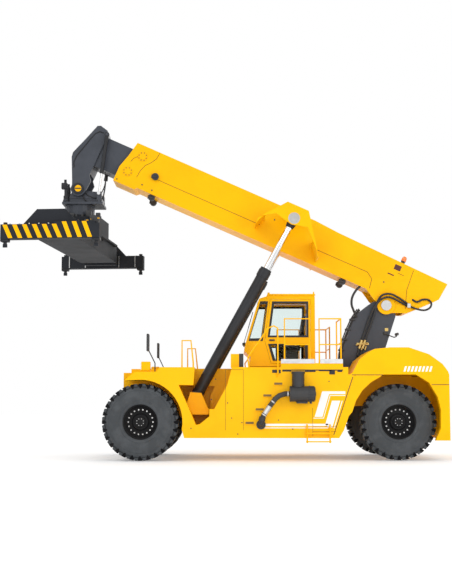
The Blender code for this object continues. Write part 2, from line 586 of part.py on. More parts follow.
def fittings():
    edge = -BODY_HALF
    drum = rod((0.48, edge - 0.20, 1.64), (1.07, edge - 0.20, 1.64), 0.19, 16)
    pot = rod((0.68, edge - 0.16, 1.80), (0.68, edge - 0.16, 2.17), 0.15, 16)
    foot = block((0.62, edge - 0.2, 1.50), (0.92, edge - GAP, 1.70))
    piece("air_cleaner", join(drum, pot, foot), BLACK)
    y = edge - 0.18
    pipe = tube([(0.4797, y, 1.64), (0.35, y, 1.64), (0.22, y, 1.60), (0.12, y, 1.52), (-0.02, y, 1.34),
                 (-0.17, y, 1.12), (-0.22, y, 1.00), (-0.23, y + 0.03, 0.92), (-0.23, y + 0.10, 0.89),
                 (-0.23, edge - GAP, 0.89)], 0.065, 2)
    piece("intake_pipe", pipe, BLACK)

    can = rod((-0.72, -1.62, DECK_Z + GAP), (-0.72, -1.62, 2.62), 0.06)
    box = block((-0.97, -1.75, DECK_Z + GAP), (-0.76, -1.40, 2.64))
    piece("deck_cabinet", join(box, can), YELLOW)

    mirror_arm = rail_frame([(-2.85, edge + 0.10, 2.1897), (-2.85, edge + 0.10, 2.40),
                            (-3.02, edge - 0.02, 2.75), (-3.02, edge - 0.02, 3.00)], 0.014)
    glass = bevelled(block((-3.05, edge - 0.14, 2.69), (-2.99, edge + 0.14, 3.12)), 0.02)
    pair("mirror", join(mirror_arm, glass), BLACK)


# ---- boom -----------------------------------------------------------------------------------
def outer_boom():
    """Hollow box with a collar at the front, ears round the pivot and wings for the cylinders."""
    side = [(-1.26, 1.18), (1.90, 1.27), (2.60, BOOM_TOP), (BOOM_FRONT, BOOM_TOP), (7.86, 0.90),
            (7.96, 0.55),
            (7.96, 0.13), (7.36, 0.13), (7.28, BOOM_BOTTOM), (0.66, BOOM_BOTTOM), (0.36, 0.02)]
    side += list(arc((0, 0), 0.21, -5, -130, 8))
    side += [(-0.34, -0.06), (-0.57, 0.03), (-0.95, 0.43), (-1.21, 0.71)]
    body = prism(side, -BOOM_HALF, BOOM_HALF)
    cavity_half = BOOM_HALF - BOOM_WALL
    low, high = BOOM_BOTTOM + BOOM_WALL, 1.19
    cavity = block((-0.10, -cavity_half, low), (8.2, cavity_half, high))
    slot = prism([(-0.50, -0.5), (0.75, -0.5), (0.75, 0.205), (-0.50, 0.205)], -cavity_half, cavity_half)
    pads = [block((7.40, y - 0.10, z0), (7.70, y + 0.10, z1)) for y in (-0.2, 0.2)
            for z0, z1 in ((low - 0.01, INNER_LOW - SEAT), (INNER_HIGH + SEAT, high + 0.01))]
    body = join(cut(body, cavity, slot), *pads)

    outer = [(2.15, 0.30), (2.86, BOOM_TOP - 0.02), (3.45, BOOM_TOP - 0.02), (3.98, 0.62), (3.98, 0.30)]
    rim = prism(outer, BOOM_HALF - 0.01, LIFT_Y + 0.24)
    hollow = prism([(2.0, 0.10), (2.42, 0.62), (2.62, 1.25), (3.62, 1.25), (3.93, 0.62), (4.10, 0.10)],
                   BOOM_HALF - 0.02, LIFT_Y + 0.19)
    cheek_cut = prism([(2.0, 0.10), (2.10, 0.28), (2.72, 0.90), (2.93, 0.84), (3.13, 0.80),
                      (3.33, 0.84), (3.60, 0.90), (4.1, 0.58), (4.1, 0.10)],
                      LIFT_Y + 0.18, LIFT_Y + 0.4)
    wing = cut(rim, hollow, cheek_cut)
    boss = turned([(0, 0.0), (0.235, 0.0), (0.235, 0.041), (0, 0.041)], 20)
    boss.transform(Matrix.Translation((0, BOOM_HALF - 0.001, 0)))
    body = join(body, wing, mirrored(wing), boss, mirrored(boss))
    bore = hole((0, -1, 0), (0, 1, 0), 0.11, 20)
    piece("outer_boom", cut(body, bore), YELLOW, BOOM)
    lamp = join(rod((-0.02, 0.20, 1.2171), (-0.02, 0.20, 1.27), 0.05),
                rod((-0.02, 0.20, 1.26), (-0.02, 0.20, 1.42), 0.075))
    piece("beacon", lamp, AMBER, BOOM)


def inner_boom():
    start = INNER_FRONT - INNER_LENGTH
    body = block((start, -INNER_HALF, INNER_LOW), (INNER_FRONT, INNER_HALF, INNER_HIGH))
    wall = 0.02
    hollow = block((start - 0.1, -INNER_HALF + wall, INNER_LOW + wall),
                   (INNER_FRONT - 0.03, INNER_HALF - wall, INNER_HIGH - wall))
    piece("inner_boom", cut(body, hollow), GREY, BOOM)


def gooseneck():
    """Boom head: a welded box with two plates that reach down to the spreader's pin."""
    x, z = HANG_U, HANG_V
    outline = [(8.6003, 1.20), (8.66, 1.30), (8.88, 1.35), (8.96, 1.31), (9.10, 0.86), (9.26, 0.39),
               (9.24, 0.26), (8.95, -0.34)]
    outline += [(x + 0.20 * cos(radians(a)), z + 0.20 * sin(radians(a))) for a in (10, -20, -50, -80,
                -110, -140, -170)]
    outline += [(8.50, -0.12), (8.6003, 0.0)]
    body = prism(outline, -0.42, 0.42)
    throat = prism([(8.0, -0.9), (9.6, -0.9), (9.6, -0.02), (9.0, 0.12), (8.70, 0.05), (8.4, 0.05)],
                   -0.335, 0.335)
    pins = [rod((8.61, side * 0.41, 1.18), (8.61, side * 0.56, 1.18), 0.04, 16) for side in (-1, 1)]
    hang_pin = rod((x, -0.45, z), (x, 0.45, z), 0.09, 20)
    piece("gooseneck", join(cut(body, throat), hang_pin, *pins), GREY, BOOM)


def lift_cylinders():
    """Barrel and rod each side; the empties stand on the base pins, their x along the barrel."""
    base = empty("lift_base_axis", (LIFT_BASE[0], 0, LIFT_BASE[1]), (0, -LIFT_ANGLE, 0), ROOT)
    eye = cut(rod((0, -LIFT_Y - 0.165, 0), (0, -LIFT_Y + 0.165, 0), 0.17, 16),
              rod((0, -2, 0), (0, 0, 0), 0.0925, 16))
    barrel = rod((0.10, -LIFT_Y, 0), (BARREL_LENGTH, -LIFT_Y, 0), BARREL_RADIUS, 16)
    gland = rod((BARREL_LENGTH - 0.16, -LIFT_Y, 0), (BARREL_LENGTH + 0.02, -LIFT_Y, 0),
                BARREL_RADIUS + 0.015, 16)
    bore = hole((0.30, -LIFT_Y, 0), (BARREL_LENGTH + 0.1, -LIFT_Y, 0), ROD_RADIUS, 16)
    body = cut(join(eye, barrel, gland), bore, rod((0, -2, 0), (0, 0, 0), 0.0925, 16))
    pair("lift_barrel", body, BLACK, base)
    bar = rod((1.50, -LIFT_Y, 0), (LIFT_LENGTH - 0.05, -LIFT_Y, 0), ROD_RADIUS, 16)
    eye = rod((LIFT_LENGTH, -LIFT_Y - 0.12, 0), (LIFT_LENGTH, -LIFT_Y + 0.12, 0), 0.155, 16)
    pair("lift_rod", join(bar, eye), CHROME, base)


DAMPER_TOP = boom_to_world(8.61, 1.18)
DAMPER_FOOT = (HANG_X + 0.56, HANG_Z - 0.14)
DAMPER_Y = 0.50


def dampers():
    run = Vector((DAMPER_FOOT[0] - DAMPER_TOP[0], DAMPER_FOOT[1] - DAMPER_TOP[1]))
    axis = empty("damper_axis", (DAMPER_TOP[0], 0, DAMPER_TOP[1]), (0, -atan2(run.y, run.x), 0), ROOT)
    y = -DAMPER_Y
    pin_hole = hole((0, -2, 0), (0, 0, 0), 0.04, 12)
    barrel = join(rod((0.03, y, 0), (1.05, y, 0), 0.05), rod((0, y - 0.04, 0), (0, y + 0.04, 0), 0.065))
    barrel = cut(barrel, hole((0.15, y, 0), (1.2, y, 0), 0.025, 12), pin_hole)
    pair("damper_barrel", barrel, BLACK, axis)
    pair("damper_rod", join(rod((0.55, y, 0), (run.length - 0.02, y, 0), 0.025),
                            rod((run.length, y - 0.03, 0), (run.length, y + 0.03, 0),
                                0.045)), CHROME, axis)


# ---- spreader -------------------------------------------------------------------------------
def hang_frame():
    """Cheeks on the hang pin over a plate that carries the slewing motors and ring."""
    cheek = [(-0.24, -0.20), (-0.16, -0.02)] + list(arc((0, 0), 0.16, 170, 10, 6)) + [(0.20, -0.04),
                                                                                      (0.62,
                                                                                       -0.08), (0.62,
                                                                                                -0.25), (-0.24, -0.25)]
    plates = [prism(cheek, side * 0.265 - 0.04, side * 0.265 + 0.04) for side in (-1, 1)]
    bridge = block((-0.24, -0.29, -0.40), (0.62, 0.29, -0.245))
    drum = rod((0, 0, -0.70), (0, 0, -0.38), 0.40, 20)
    top_plate = block((-0.42, -0.45, -0.42), (0.66, 0.45, -0.36))
    foot = [block((0.50, min(side * 0.28, side * 0.44), -0.25),
            (0.62, max(side * 0.28, side * 0.44), -0.09)) for side in (-1, 1)]
    arms = [block((0.50, min(side * 0.43, side * 0.45), -0.40),
            (0.62, max(side * 0.43, side * 0.45), -0.09)) for side in (-1, 1)]
    motors = [rod((x, side * 0.34, -0.36), (x, side * 0.34, -0.28), 0.06) for side in (-1,
              1) for x in (-0.34,)]
    body = join(plates[0], plates[1], bridge, drum, top_plate, *foot, *arms, *motors)
    bore = hole((0, -1, 0), (0, 1, 0), 0.09, 20)
    piece("hang_frame", cut(body, bore), GREY, HANG)


FRAME_TOP = HANG_Z - 1.16     # top of the spreader's centre frame
FRAME_DEEP = 0.48
FRAME_WIDE = 0.52             # half its width
FRAME_LONG = 2.35             # half its length


def slew_carriage():
    ring = rod((0, 0, HANG_Z - 0.80), (0, 0, HANG_Z - 0.70 - SEAT), 0.44, 20)
    top = FRAME_TOP
    saddle = block((-0.56, -0.62, top + 0.085), (0.56, 0.62, HANG_Z - 0.79))
    shoes = [block((x0, y - 0.10, top + SEAT), (x1, y + 0.10, top + 0.09)) for y in (-0.5, 0.5)
             for x0, x1 in ((-0.5, -0.36), (0.36, 0.5))]
    hooks = []
    for side in (-1, 1):
        hooks.append(block((min(side * 0.60, side * 0.66), -0.62, top - 0.10),
                     (max(side * 0.60, side * 0.66), 0.62, HANG_Z - 0.79)))
        hooks.append(block((min(side * 0.54, side * 0.66), -0.62, top + 0.085),
                     (max(side * 0.54, side * 0.66), 0.62, HANG_Z - 0.79)))
        hooks.append(block((min(side * 0.535, side * 0.65), -0.62, top - 0.10),
                     (max(side * 0.535, side * 0.65), 0.62, top - 0.06)))
    piece("slew_carriage", join(saddle, ring, *shoes, *hooks), BLACK, SLEW)


def spreader_frame():
    top, bottom = FRAME_TOP, FRAME_TOP - FRAME_DEEP
    body = block((-FRAME_WIDE, -FRAME_LONG, bottom), (FRAME_WIDE, FRAME_LONG, top))
    flanges = [block((min(side * 0.51, side * 0.59), -FRAME_LONG + 0.2, top - 0.05),
               (max(side * 0.51, side * 0.59), FRAME_LONG - 0.2, top))
               for side in (-1, 1)]
    channels = [block((-0.48, -3.0, bottom + 0.04), (-0.02, 3.0, top - 0.04)),
                block((0.02, -3.0, bottom + 0.04), (0.48, 3.0, top - 0.04))]
    pads = []
    for side, end in ((-1, -1), (1, 1)):
        for low, high in ((bottom + 0.03, ARM_LOW - SEAT), (ARM_HIGH + SEAT, top - 0.03)):
            pads.append(block((side * 0.25 - 0.10, end * (FRAME_LONG - 0.15) - 0.12, low),
                        (side * 0.25 + 0.10, end * (FRAME_LONG - 0.15) + 0.12, high)))
    piece("spreader_frame", join(cut(join(body, *flanges), *channels), *pads), BLACK, SLEW)


ARM_LOW = FRAME_TOP - FRAME_DEEP + 0.055
ARM_HIGH = FRAME_TOP - 0.055
BEAM_TOP = HANG_Z - 1.38
BEAM_LOW = HANG_Z - 1.74


def spreader_arms():
    """Telescopic beam, cross beam and twistlocks; the left one slides in the channel at -x."""
    y = -LOCK_LENGTH_20 / 2
    half = END_BEAM_LENGTH / 2
    beam = block((-0.25 - 0.20, y + 0.10, ARM_LOW), (-0.25 + 0.20, 1.60, ARM_HIGH))
    end = block((-half, y - 0.12, BEAM_LOW), (half, y + 0.12, BEAM_TOP))
    step = block((0.10, y - 0.12, BEAM_TOP - 0.01), (half - 0.10, y + 0.12, BEAM_TOP + 0.05))
    gusset = prism([(-0.72, BEAM_TOP - 0.02), (-0.35, BEAM_TOP + 0.38), (0.35, BEAM_TOP + 0.38),
                   (0.72, BEAM_TOP - 0.02)], y + 0.0, y + 0.05)
    neck = block((-0.46, y + 0.05, BEAM_TOP - 0.30), (0.46, y + 0.40, BEAM_TOP + 0.06))
    tail_pads = [block((-0.35, 1.30, ARM_HIGH - 0.01), (-0.15, 1.55, FRAME_TOP - 0.04 - SEAT)),
                 block((-0.35, 1.30, FRAME_TOP - FRAME_DEEP + 0.04 + SEAT),
                       (-0.15, 1.55, ARM_LOW + 0.01))]
    locks = []
    for side in (-1, 1):
        x = side * LOCK_WIDTH / 2
        locks.append(block((x - 0.09, y - 0.085, BEAM_LOW - 0.06),
                     (x + 0.09, y + 0.085, BEAM_LOW + 0.01)))
        locks.append(rod((x, y, BEAM_LOW - 0.12), (x, y, BEAM_LOW - 0.05), 0.035, 12))
        locks.append(block((x - 0.05, y - 0.03, BEAM_LOW - 0.19), (x + 0.05, y + 0.03, BEAM_LOW - 0.11)))
    left = join(beam, end, step, gusset, neck, *locks, *tail_pads)
    right = left.copy()
    right.transform(Matrix.Rotation(pi, 4, "Z"))
    piece("left_spreader_arm", left, BLACK, SLEW)
    piece("right_spreader_arm", right, BLACK, SLEW)


chassis()
side_bodies(platforms())
rear_body()
tower()
front_axle()
rear_axle()
wheels()
cab()
fittings()
outer_boom()
inner_boom()
gooseneck()
lift_cylinders()
dampers()
hang_frame()
slew_carriage()
spreader_frame()
spreader_arms()
bpy.context.view_layer.update()
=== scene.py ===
"""Reach stacker: paint, rubber, glass and small fittings on the machine's solids."""
import bpy
import bmesh
import json
from math import cos, pi, radians, sin
from mathutils import Matrix, Vector


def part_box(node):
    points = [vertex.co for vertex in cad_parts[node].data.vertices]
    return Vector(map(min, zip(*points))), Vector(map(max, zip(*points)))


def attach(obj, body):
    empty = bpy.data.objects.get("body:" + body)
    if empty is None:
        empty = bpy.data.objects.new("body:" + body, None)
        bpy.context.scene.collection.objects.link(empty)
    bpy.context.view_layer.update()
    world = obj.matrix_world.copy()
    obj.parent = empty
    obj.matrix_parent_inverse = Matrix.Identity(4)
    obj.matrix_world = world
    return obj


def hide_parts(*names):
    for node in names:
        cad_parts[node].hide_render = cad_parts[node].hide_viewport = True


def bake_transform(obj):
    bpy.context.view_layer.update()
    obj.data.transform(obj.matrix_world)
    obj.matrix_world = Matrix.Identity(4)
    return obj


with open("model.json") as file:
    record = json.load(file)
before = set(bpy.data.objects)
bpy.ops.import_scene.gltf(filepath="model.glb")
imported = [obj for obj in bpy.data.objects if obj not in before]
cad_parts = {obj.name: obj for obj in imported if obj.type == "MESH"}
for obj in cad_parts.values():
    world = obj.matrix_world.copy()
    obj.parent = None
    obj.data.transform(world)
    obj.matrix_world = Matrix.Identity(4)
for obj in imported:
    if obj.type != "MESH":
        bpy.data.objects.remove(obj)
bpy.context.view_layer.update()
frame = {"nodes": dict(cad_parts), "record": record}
joints = {joint["name"]: joint for joint in frame["record"]["behaviour"]["joints"]}

# Camera: level with the tyres, square to the machine's left side.
camera = bpy.data.objects.new("camera", bpy.data.cameras.new("camera"))
camera.data.lens = 66.9
camera.data.clip_end = 200
camera.location = (-0.185, -28.9, 1.39)
camera.rotation_euler = (radians(95.9), 0, 0)
bpy.context.scene.collection.objects.link(camera)
bpy.context.scene.camera = camera

# Side bodies, decks, hood and counterweight: welded steel plate in glossy warm
# yellow, in soft patches of two tones and uneven gloss.
half_way = (joints["left_front_roll"]["pos_m"][0] + joints["left_rear_roll"]["pos_m"][0]) / 2


def at(x, y, z):
    """A point whose x is counted from the middle of the wheelbase."""
    return Vector((x + half_way, y, z))


def node(tree, kind, **values):
    """A shader node with its inputs or settings given by name."""
    made = tree.nodes.new(kind)
    for name, value in values.items():
        if name in made.inputs:
            made.inputs[name].default_value = value
        else:
            setattr(made, name, value)
    return made


def finish(name, colour, other, rough=(0.3, 0.45), patch=0.9, grain=90.0, bump=0.05, **sockets):
    """A worn finish: two colours in soft patches, uneven gloss and a fine grain."""
    material = bpy.data.materials.new(name)
    material.use_nodes = True
    tree = material.node_tree
    shader = tree.nodes["Principled BSDF"]
    place = node(tree, "ShaderNodeTexCoord")
    cloud = node(tree, "ShaderNodeTexNoise", Scale=patch, Detail=5.0, Roughness=0.6)
    tree.links.new(place.outputs["Object"], cloud.inputs["Vector"])
    ramp = node(tree, "ShaderNodeValToRGB")
    ramp.color_ramp.elements[0].position = 0.38
    ramp.color_ramp.elements[0].color = (*other, 1)
    ramp.color_ramp.elements[1].position = 0.56
    ramp.color_ramp.elements[1].color = (*colour, 1)
    tree.links.new(cloud.outputs["Fac"], ramp.inputs["Fac"])
    tree.links.new(ramp.outputs["Color"], shader.inputs["Base Color"])
    gloss = node(tree, "ShaderNodeMapRange")
    gloss.inputs["To Min"].default_value = rough[1]
    gloss.inputs["To Max"].default_value = rough[0]
    tree.links.new(cloud.outputs["Fac"], gloss.inputs["Value"])
    tree.links.new(gloss.outputs["Result"], shader.inputs["Roughness"])
    fine = node(tree, "ShaderNodeTexNoise", Scale=grain, Detail=3.0)
    tree.links.new(place.outputs["Object"], fine.inputs["Vector"])
    relief = node(tree, "ShaderNodeBump", Strength=bump, Distance=0.004)
    tree.links.new(fine.outputs["Fac"], relief.inputs["Height"])
    tree.links.new(relief.outputs["Normal"], shader.inputs["Normal"])
    for socket, value in sockets.items():
        shader.inputs[socket.replace("_", " ")].default_value = value
    return material


def coat(material, *names):
    """Gives solids one finish."""
    for name in names:
        slots = frame["nodes"][name].data.materials
        slots.clear()
        slots.append(material)


yellow = finish("yellow_paint", (0.93, 0.475, 0.001), (0.88, 0.44, 0.001), (0.30, 0.42),
                Coat_Weight=0.04, Coat_Roughness=0.15, Specular_IOR_Level=0.08)
coat(yellow, "chassis_frame", "centre_deck", "left_platform", "right_platform", "left_side_body",
     "right_side_body", "rear_hood", "counterweight", "deck_cabinet", "outer_boom", "cab_shell",
     "left_cab_door", "right_cab_door")
black = finish("black_paint", (0.018, 0.019, 0.022), (0.012, 0.012, 0.014), (0.35, 0.55),
               Specular_IOR_Level=0.3)
slate = finish("grey_paint", (0.050, 0.056, 0.070), (0.036, 0.041, 0.052), (0.32, 0.45),
               Specular_IOR_Level=0.3)
iron = finish("cast_iron", (0.03, 0.03, 0.033), (0.018, 0.018, 0.02), (0.5, 0.75), grain=40.0,
              bump=0.3)
coat(black, "engine_and_gearbox")
coat(iron, "front_axle", "rear_axle", "left_knuckle", "right_knuckle")
white = finish("white_film", (0.85, 0.85, 0.83), (0.78, 0.78, 0.76), (0.35, 0.5), grain=200.0)


def put(mesh, name, material, body, slot, *stands_for):
    """Turns a bmesh into a piece that rides on a body."""
    bmesh.ops.recalc_face_normals(mesh, faces=mesh.faces)
    data = bpy.data.meshes.new(name)
    mesh.to_mesh(data)
    mesh.free()
    data.materials.append(material)
    piece = bpy.data.objects.new(name, data)
    bpy.context.scene.collection.objects.link(piece)
    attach(piece, body)
    if stands_for:
        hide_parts(*stands_for)
    return piece


def add_box(mesh, low, high, edge=0.0):
    """A block between two corners, with its edges rounded."""
    made = bmesh.ops.create_cube(mesh, size=1)["verts"]
    low, high = Vector(low), Vector(high)
    bmesh.ops.scale(mesh, vec=high - low, verts=made)
    bmesh.ops.translate(mesh, vec=(low + high) / 2, verts=made)
    if edge:
        edges = list({e for v in made for e in v.link_edges})
        bmesh.ops.bevel(mesh, geom=edges, offset=edge, offset_type="OFFSET", affect="EDGES",
                        segments=2, profile=0.5, material=-1)


def add_rod(mesh, start, end, radius, sides=24, end_radius=None):
    """A round bar or cone between two points."""
    start, end = Vector(start), Vector(end)
    turn = (end - start).to_track_quat("Z", "Y").to_matrix().to_4x4()
    bmesh.ops.create_cone(mesh, cap_ends=True, segments=sides, radius1=radius,
                          radius2=radius if end_radius is None else end_radius,
                          depth=(end - start).length,
                          matrix=Matrix.Translation((start + end) / 2) @ turn)


def thicken(mesh, flat, depth):
    """Pulls flat faces along y into a plate."""
    pulled = bmesh.ops.extrude_face_region(mesh, geom=flat)["geom"]
    bmesh.ops.translate(mesh, vec=(0, depth, 0),
                        verts=[v for v in pulled if isinstance(v, bmesh.types.BMVert)])


def add_plate(mesh, outline, y_near, y_far):
    """A flat shape drawn in x and z, given thickness along y."""
    corners = [mesh.verts.new((x, y_near, z)) for x, z in outline]
    thicken(mesh, [mesh.faces.new(corners)], y_far - y_near)


def round_off(piece, angle=35):
    """Smooth shading, with edges sharper than the angle kept crisp."""
    piece.data.shade_smooth()
    sharp = bmesh.new()
    sharp.from_mesh(piece.data)
    for edge in sharp.edges:
        edge.smooth = len(edge.link_faces) == 2 and edge.calc_face_angle(0) < radians(angle)
    sharp.to_mesh(piece.data)
    sharp.free()
    return piece


# Livery on the left side: two slanted white bands with level caps behind the air
# cleaner, a long double line and a pin stripe beside each, cut from film.
left_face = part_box("counterweight")[0].y
film = (left_face - 0.002, left_face + 0.002)
bands = bmesh.new()
for shape in ([(1.17, 1.08), (1.36, 1.08), (1.53, 1.64), (1.93, 1.64), (1.93, 1.705), (1.36, 1.705)],
              [(1.43, 0.90), (1.50, 0.82), (1.60, 0.82), (1.80, 1.475), (1.60, 1.475)],
              [(1.14, 1.04), (1.395, 1.04), (1.56, 1.595), (1.93, 1.595), (1.93, 1.612),
               (1.548, 1.612), (1.383, 1.057), (1.14, 1.057)],
              [(1.635, 0.80), (1.655, 0.80), (1.86, 1.475), (1.84, 1.475)],
              [(-0.07, 0.855), (1.42, 0.855), (1.50, 0.885), (1.50, 0.91), (-0.07, 0.91)],
              [(-0.07, 0.80), (1.50, 0.80), (1.50, 0.82), (-0.07, 0.82)]):
    add_plate(bands, [(x - 0.08 + half_way, z) for x, z in shape], *film)
put(bands, "side_bands", white, "chassis", "yellow_paint")
bars = bmesh.new()
for count in range(8):
    x = 3.29 + 0.09 * count + half_way
    add_plate(bars, [(x, 2.19), (x + 0.05, 2.19), (x + 0.09, 2.32), (x + 0.04, 2.32)], *film)
put(bars, "hood_bars", white, "chassis", "yellow_paint")

# Tyres: radial port tyres with deep slanted lugs, moulded in black rubber that
# has greyed a little on the side walls. Each rides with its wheel.
rubber = finish("tyre_rubber", (0.040, 0.045, 0.050), (0.060, 0.066, 0.072), (0.72, 0.9),
                patch=3.0, grain=140.0, bump=0.25)
tyre_radius = 0.95
rim_radius = 0.43
lug_count = 28


def add_turned(mesh, profile, centre, steps=96):
    """Spins a radius-and-y profile round an axle."""
    points = [mesh.verts.new((radius, along, 0)) for radius, along in profile]
    edges = [mesh.edges.new((a, b)) for a, b in zip(points, points[1:])]
    bmesh.ops.spin(mesh, geom=points + edges, cent=(0, 0, 0), axis=(0, 1, 0), dvec=(0, 0, 0),
                   angle=2 * pi, steps=steps, use_merge=True)
    bmesh.ops.remove_doubles(mesh, verts=mesh.verts, dist=0.00005)
    bmesh.ops.translate(mesh, vec=centre, verts=mesh.verts)


# Near-black rubber for the shoulder wedges: painted shade, darker than the tyre so the gaps between
# lugs look shaded.
painted_groove_shade = finish("painted_groove_shade", (0.006, 0.006, 0.007), (0.012, 0.012, 0.013), (0.8, 0.95),
                       Specular_IOR_Level=0.1)


def tyre(name, body, solid, axle):
    """One tyre: a turned carcass, lugs in two half rows, and near-black wedges at its shoulders,
    painted shade in the gaps between the lugs.
    """
    low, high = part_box(solid)
    middle, half = (low.y + high.y) / 2, (high.y - low.y) / 2
    side = [(rim_radius, -half + 0.05), (rim_radius + 0.015, -half + 0.025), (0.50, -half + 0.018),
            (0.515, -half + 0.026), (0.56, -half + 0.012), (0.66, -half), (0.76, -half + 0.006),
            (0.775, -half + 0.016), (0.79, -half + 0.010), (0.84, -half + 0.024),
            (0.875, -half + 0.050), (0.893, -half + 0.09), (0.902, 0)]
    whole = side + [(radius, -along) for radius, along in reversed(side[:-1])]
    carcass = bmesh.new()
    bead = [(rim_radius, half - 0.06), (rim_radius, -half + 0.06), side[0]]
    add_turned(carcass, whole + bead, (0, 0, 0))
    bmesh.ops.remove_doubles(carcass, verts=carcass.verts, dist=0.0001)
    lug = bmesh.new()
    for count in range(lug_count):
        for wall in (-1, 1):
            made = bmesh.ops.create_cube(lug, size=1)["verts"]
            for v in made:
                out = 0.5 + wall * v.co.y        # 1 at the shoulder, 0 at the middle
                v.co.z *= 0.125 - 0.035 * out
                v.co.z += 0.10 * out * wall
                v.co.y = wall * (0.02 + (half - 0.045) * (0.5 + wall * v.co.y))
                top = v.co.x > 0
                v.co.x = tyre_radius - 0.003 if top else 0.868
                if top:
                    v.co.z *= 0.86
                    if abs(v.co.y) > 0.1:
                        v.co.x -= 0.014
                elif abs(v.co.y) > 0.1:
                    v.co.y += wall * 0.016
            angle = 2 * pi * (count + (0.25 if wall > 0 else 0)) / lug_count
            bmesh.ops.rotate(lug, cent=(0, 0, 0), matrix=Matrix.Rotation(angle, 3, "Y"), verts=made)
    bmesh.ops.bevel(lug, geom=lug.edges[:], offset=0.008, offset_type="OFFSET", affect="EDGES",
                    segments=1, profile=0.5, material=-1)
    spare = bpy.data.meshes.new("lug")
    lug.to_mesh(spare)
    lug.free()
    carcass.from_mesh(spare)
    bpy.data.meshes.remove(spare)
    bmesh.ops.translate(carcass, vec=(axle[0], middle, axle[2]), verts=carcass.verts)
    round_off(put(carcass, name, rubber, body, "tyre_rubber", solid))
    # Dark wedges at each shoulder between the lugs: painted shade in the gaps.
    groove = bmesh.new()
    for count in range(lug_count):
        for wall in (-1, 1):
            made = bmesh.ops.create_cube(groove, size=1)["verts"]
            for v in made:
                top = v.co.x > 0
                v.co.z = v.co.z * (0.090 if top else 0.030)
                v.co.x = 0.938 if top else 0.825
                v.co.y = wall * (half - (0.020 if wall * v.co.y > 0 else 0.09))
            angle = 2 * pi * (count + (0.25 if wall > 0 else 0)) / lug_count - 0.108 * wall - 0.109
            bmesh.ops.rotate(groove, cent=(0, 0, 0), matrix=Matrix.Rotation(angle, 3, "Y"), verts=made)
    bmesh.ops.translate(groove, vec=(axle[0], middle, axle[2]), verts=groove.verts)
    put(groove, name + "_painted_shoulder_shade", painted_groove_shade, body, "tyre_rubber")


for side in ("left", "right"):
    axle = joints[side + "_front_roll"]["pos_m"]
    for place in ("outer", "inner"):
        tyre(f"{side}_{place}_lug_tyre", side + "_front_wheels", f"{side}_front_{place}_tyre", axle)
    tyre(side + "_steer_lug_tyre", side + "_rear_wheel", side + "_rear_tyre",
         joints[side + "_rear_roll"]["pos_m"])

# Rims: pressed and welded steel in black, a clamped flange at the outer bead,
# a dished disc, eighteen bright wheel nuts and a bolted hub cap.
rim_black = finish("rim_paint", (0.012, 0.012, 0.013), (0.018, 0.018, 0.018), (0.5, 0.7),
                   Specular_IOR_Level=0.1)
steel = finish("bright_steel", (0.55, 0.55, 0.54), (0.42, 0.41, 0.40), (0.25, 0.4), Metallic=1.0)
nut_count = 18
nut_circle = 0.305
cap_circle = 0.085
for side, sign in (("left", -1), ("right", 1)):
    for wheel, body, joint, dish in (("front", "_front_wheels", "_front_roll", 0.22),
                                     ("rear", "_rear_wheel", "_rear_roll", 0.20)):
        solid = f"{side}_{wheel}_rim"
        low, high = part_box(solid)
        outer, inner = (low.y, high.y) if sign < 0 else (high.y, low.y)
        axle = joints[side + joint]["pos_m"]

        def y(depth):
            """A place this far in from the rim's outer face."""
            return outer - sign * depth

        width = abs(outer - inner)
        shape = [(0, 0.02), (0.10, 0.02), (0.125, 0.035), (0.14, 0.10), (0.18, 0.11),
                 (0.20, dish - 0.03), (0.22, dish - 0.01), (0.37, dish), (0.395, dish - 0.02),
                 (0.40, 0.06), (0.405, 0.045), (0.42, 0.03), (0.452, 0.022), (0.462, 0.03),
                 (0.455, 0.045), (0.428, 0.05), (0.428, width - 0.04), (0.40, width - 0.04),
                 (0.40, dish + 0.04), (0.20, dish + 0.04), (0, dish + 0.04)]
        wheel_mesh = bmesh.new()
        add_turned(wheel_mesh, [(radius, y(depth)) for radius, depth in shape],
                   (axle[0], 0, axle[2]), 64)
        round_off(put(wheel_mesh, f"{side}_{wheel}_dished_rim", rim_black, side + body, "rim_paint",
                      solid))
        nuts = bmesh.new()
        for count in range(nut_count):
            angle = 2 * pi * count / nut_count
            x, z = axle[0] + nut_circle * cos(angle), axle[2] + nut_circle * sin(angle)
            add_rod(nuts, (x, y(dish + 0.01), z), (x, y(dish - 0.045), z), 0.019, 6)
            add_rod(nuts, (x, y(dish - 0.04), z), (x, y(dish - 0.065), z), 0.010, 10)
        for count in range(8):
            angle = 2 * pi * (count + 0.5) / 8
            x, z = axle[0] + cap_circle * cos(angle), axle[2] + cap_circle * sin(angle)
            add_rod(nuts, (x, y(0.03), z), (x, y(0.005), z), 0.010, 6)
        put(nuts, f"{side}_{wheel}_nuts", steel, side + body, "chrome")

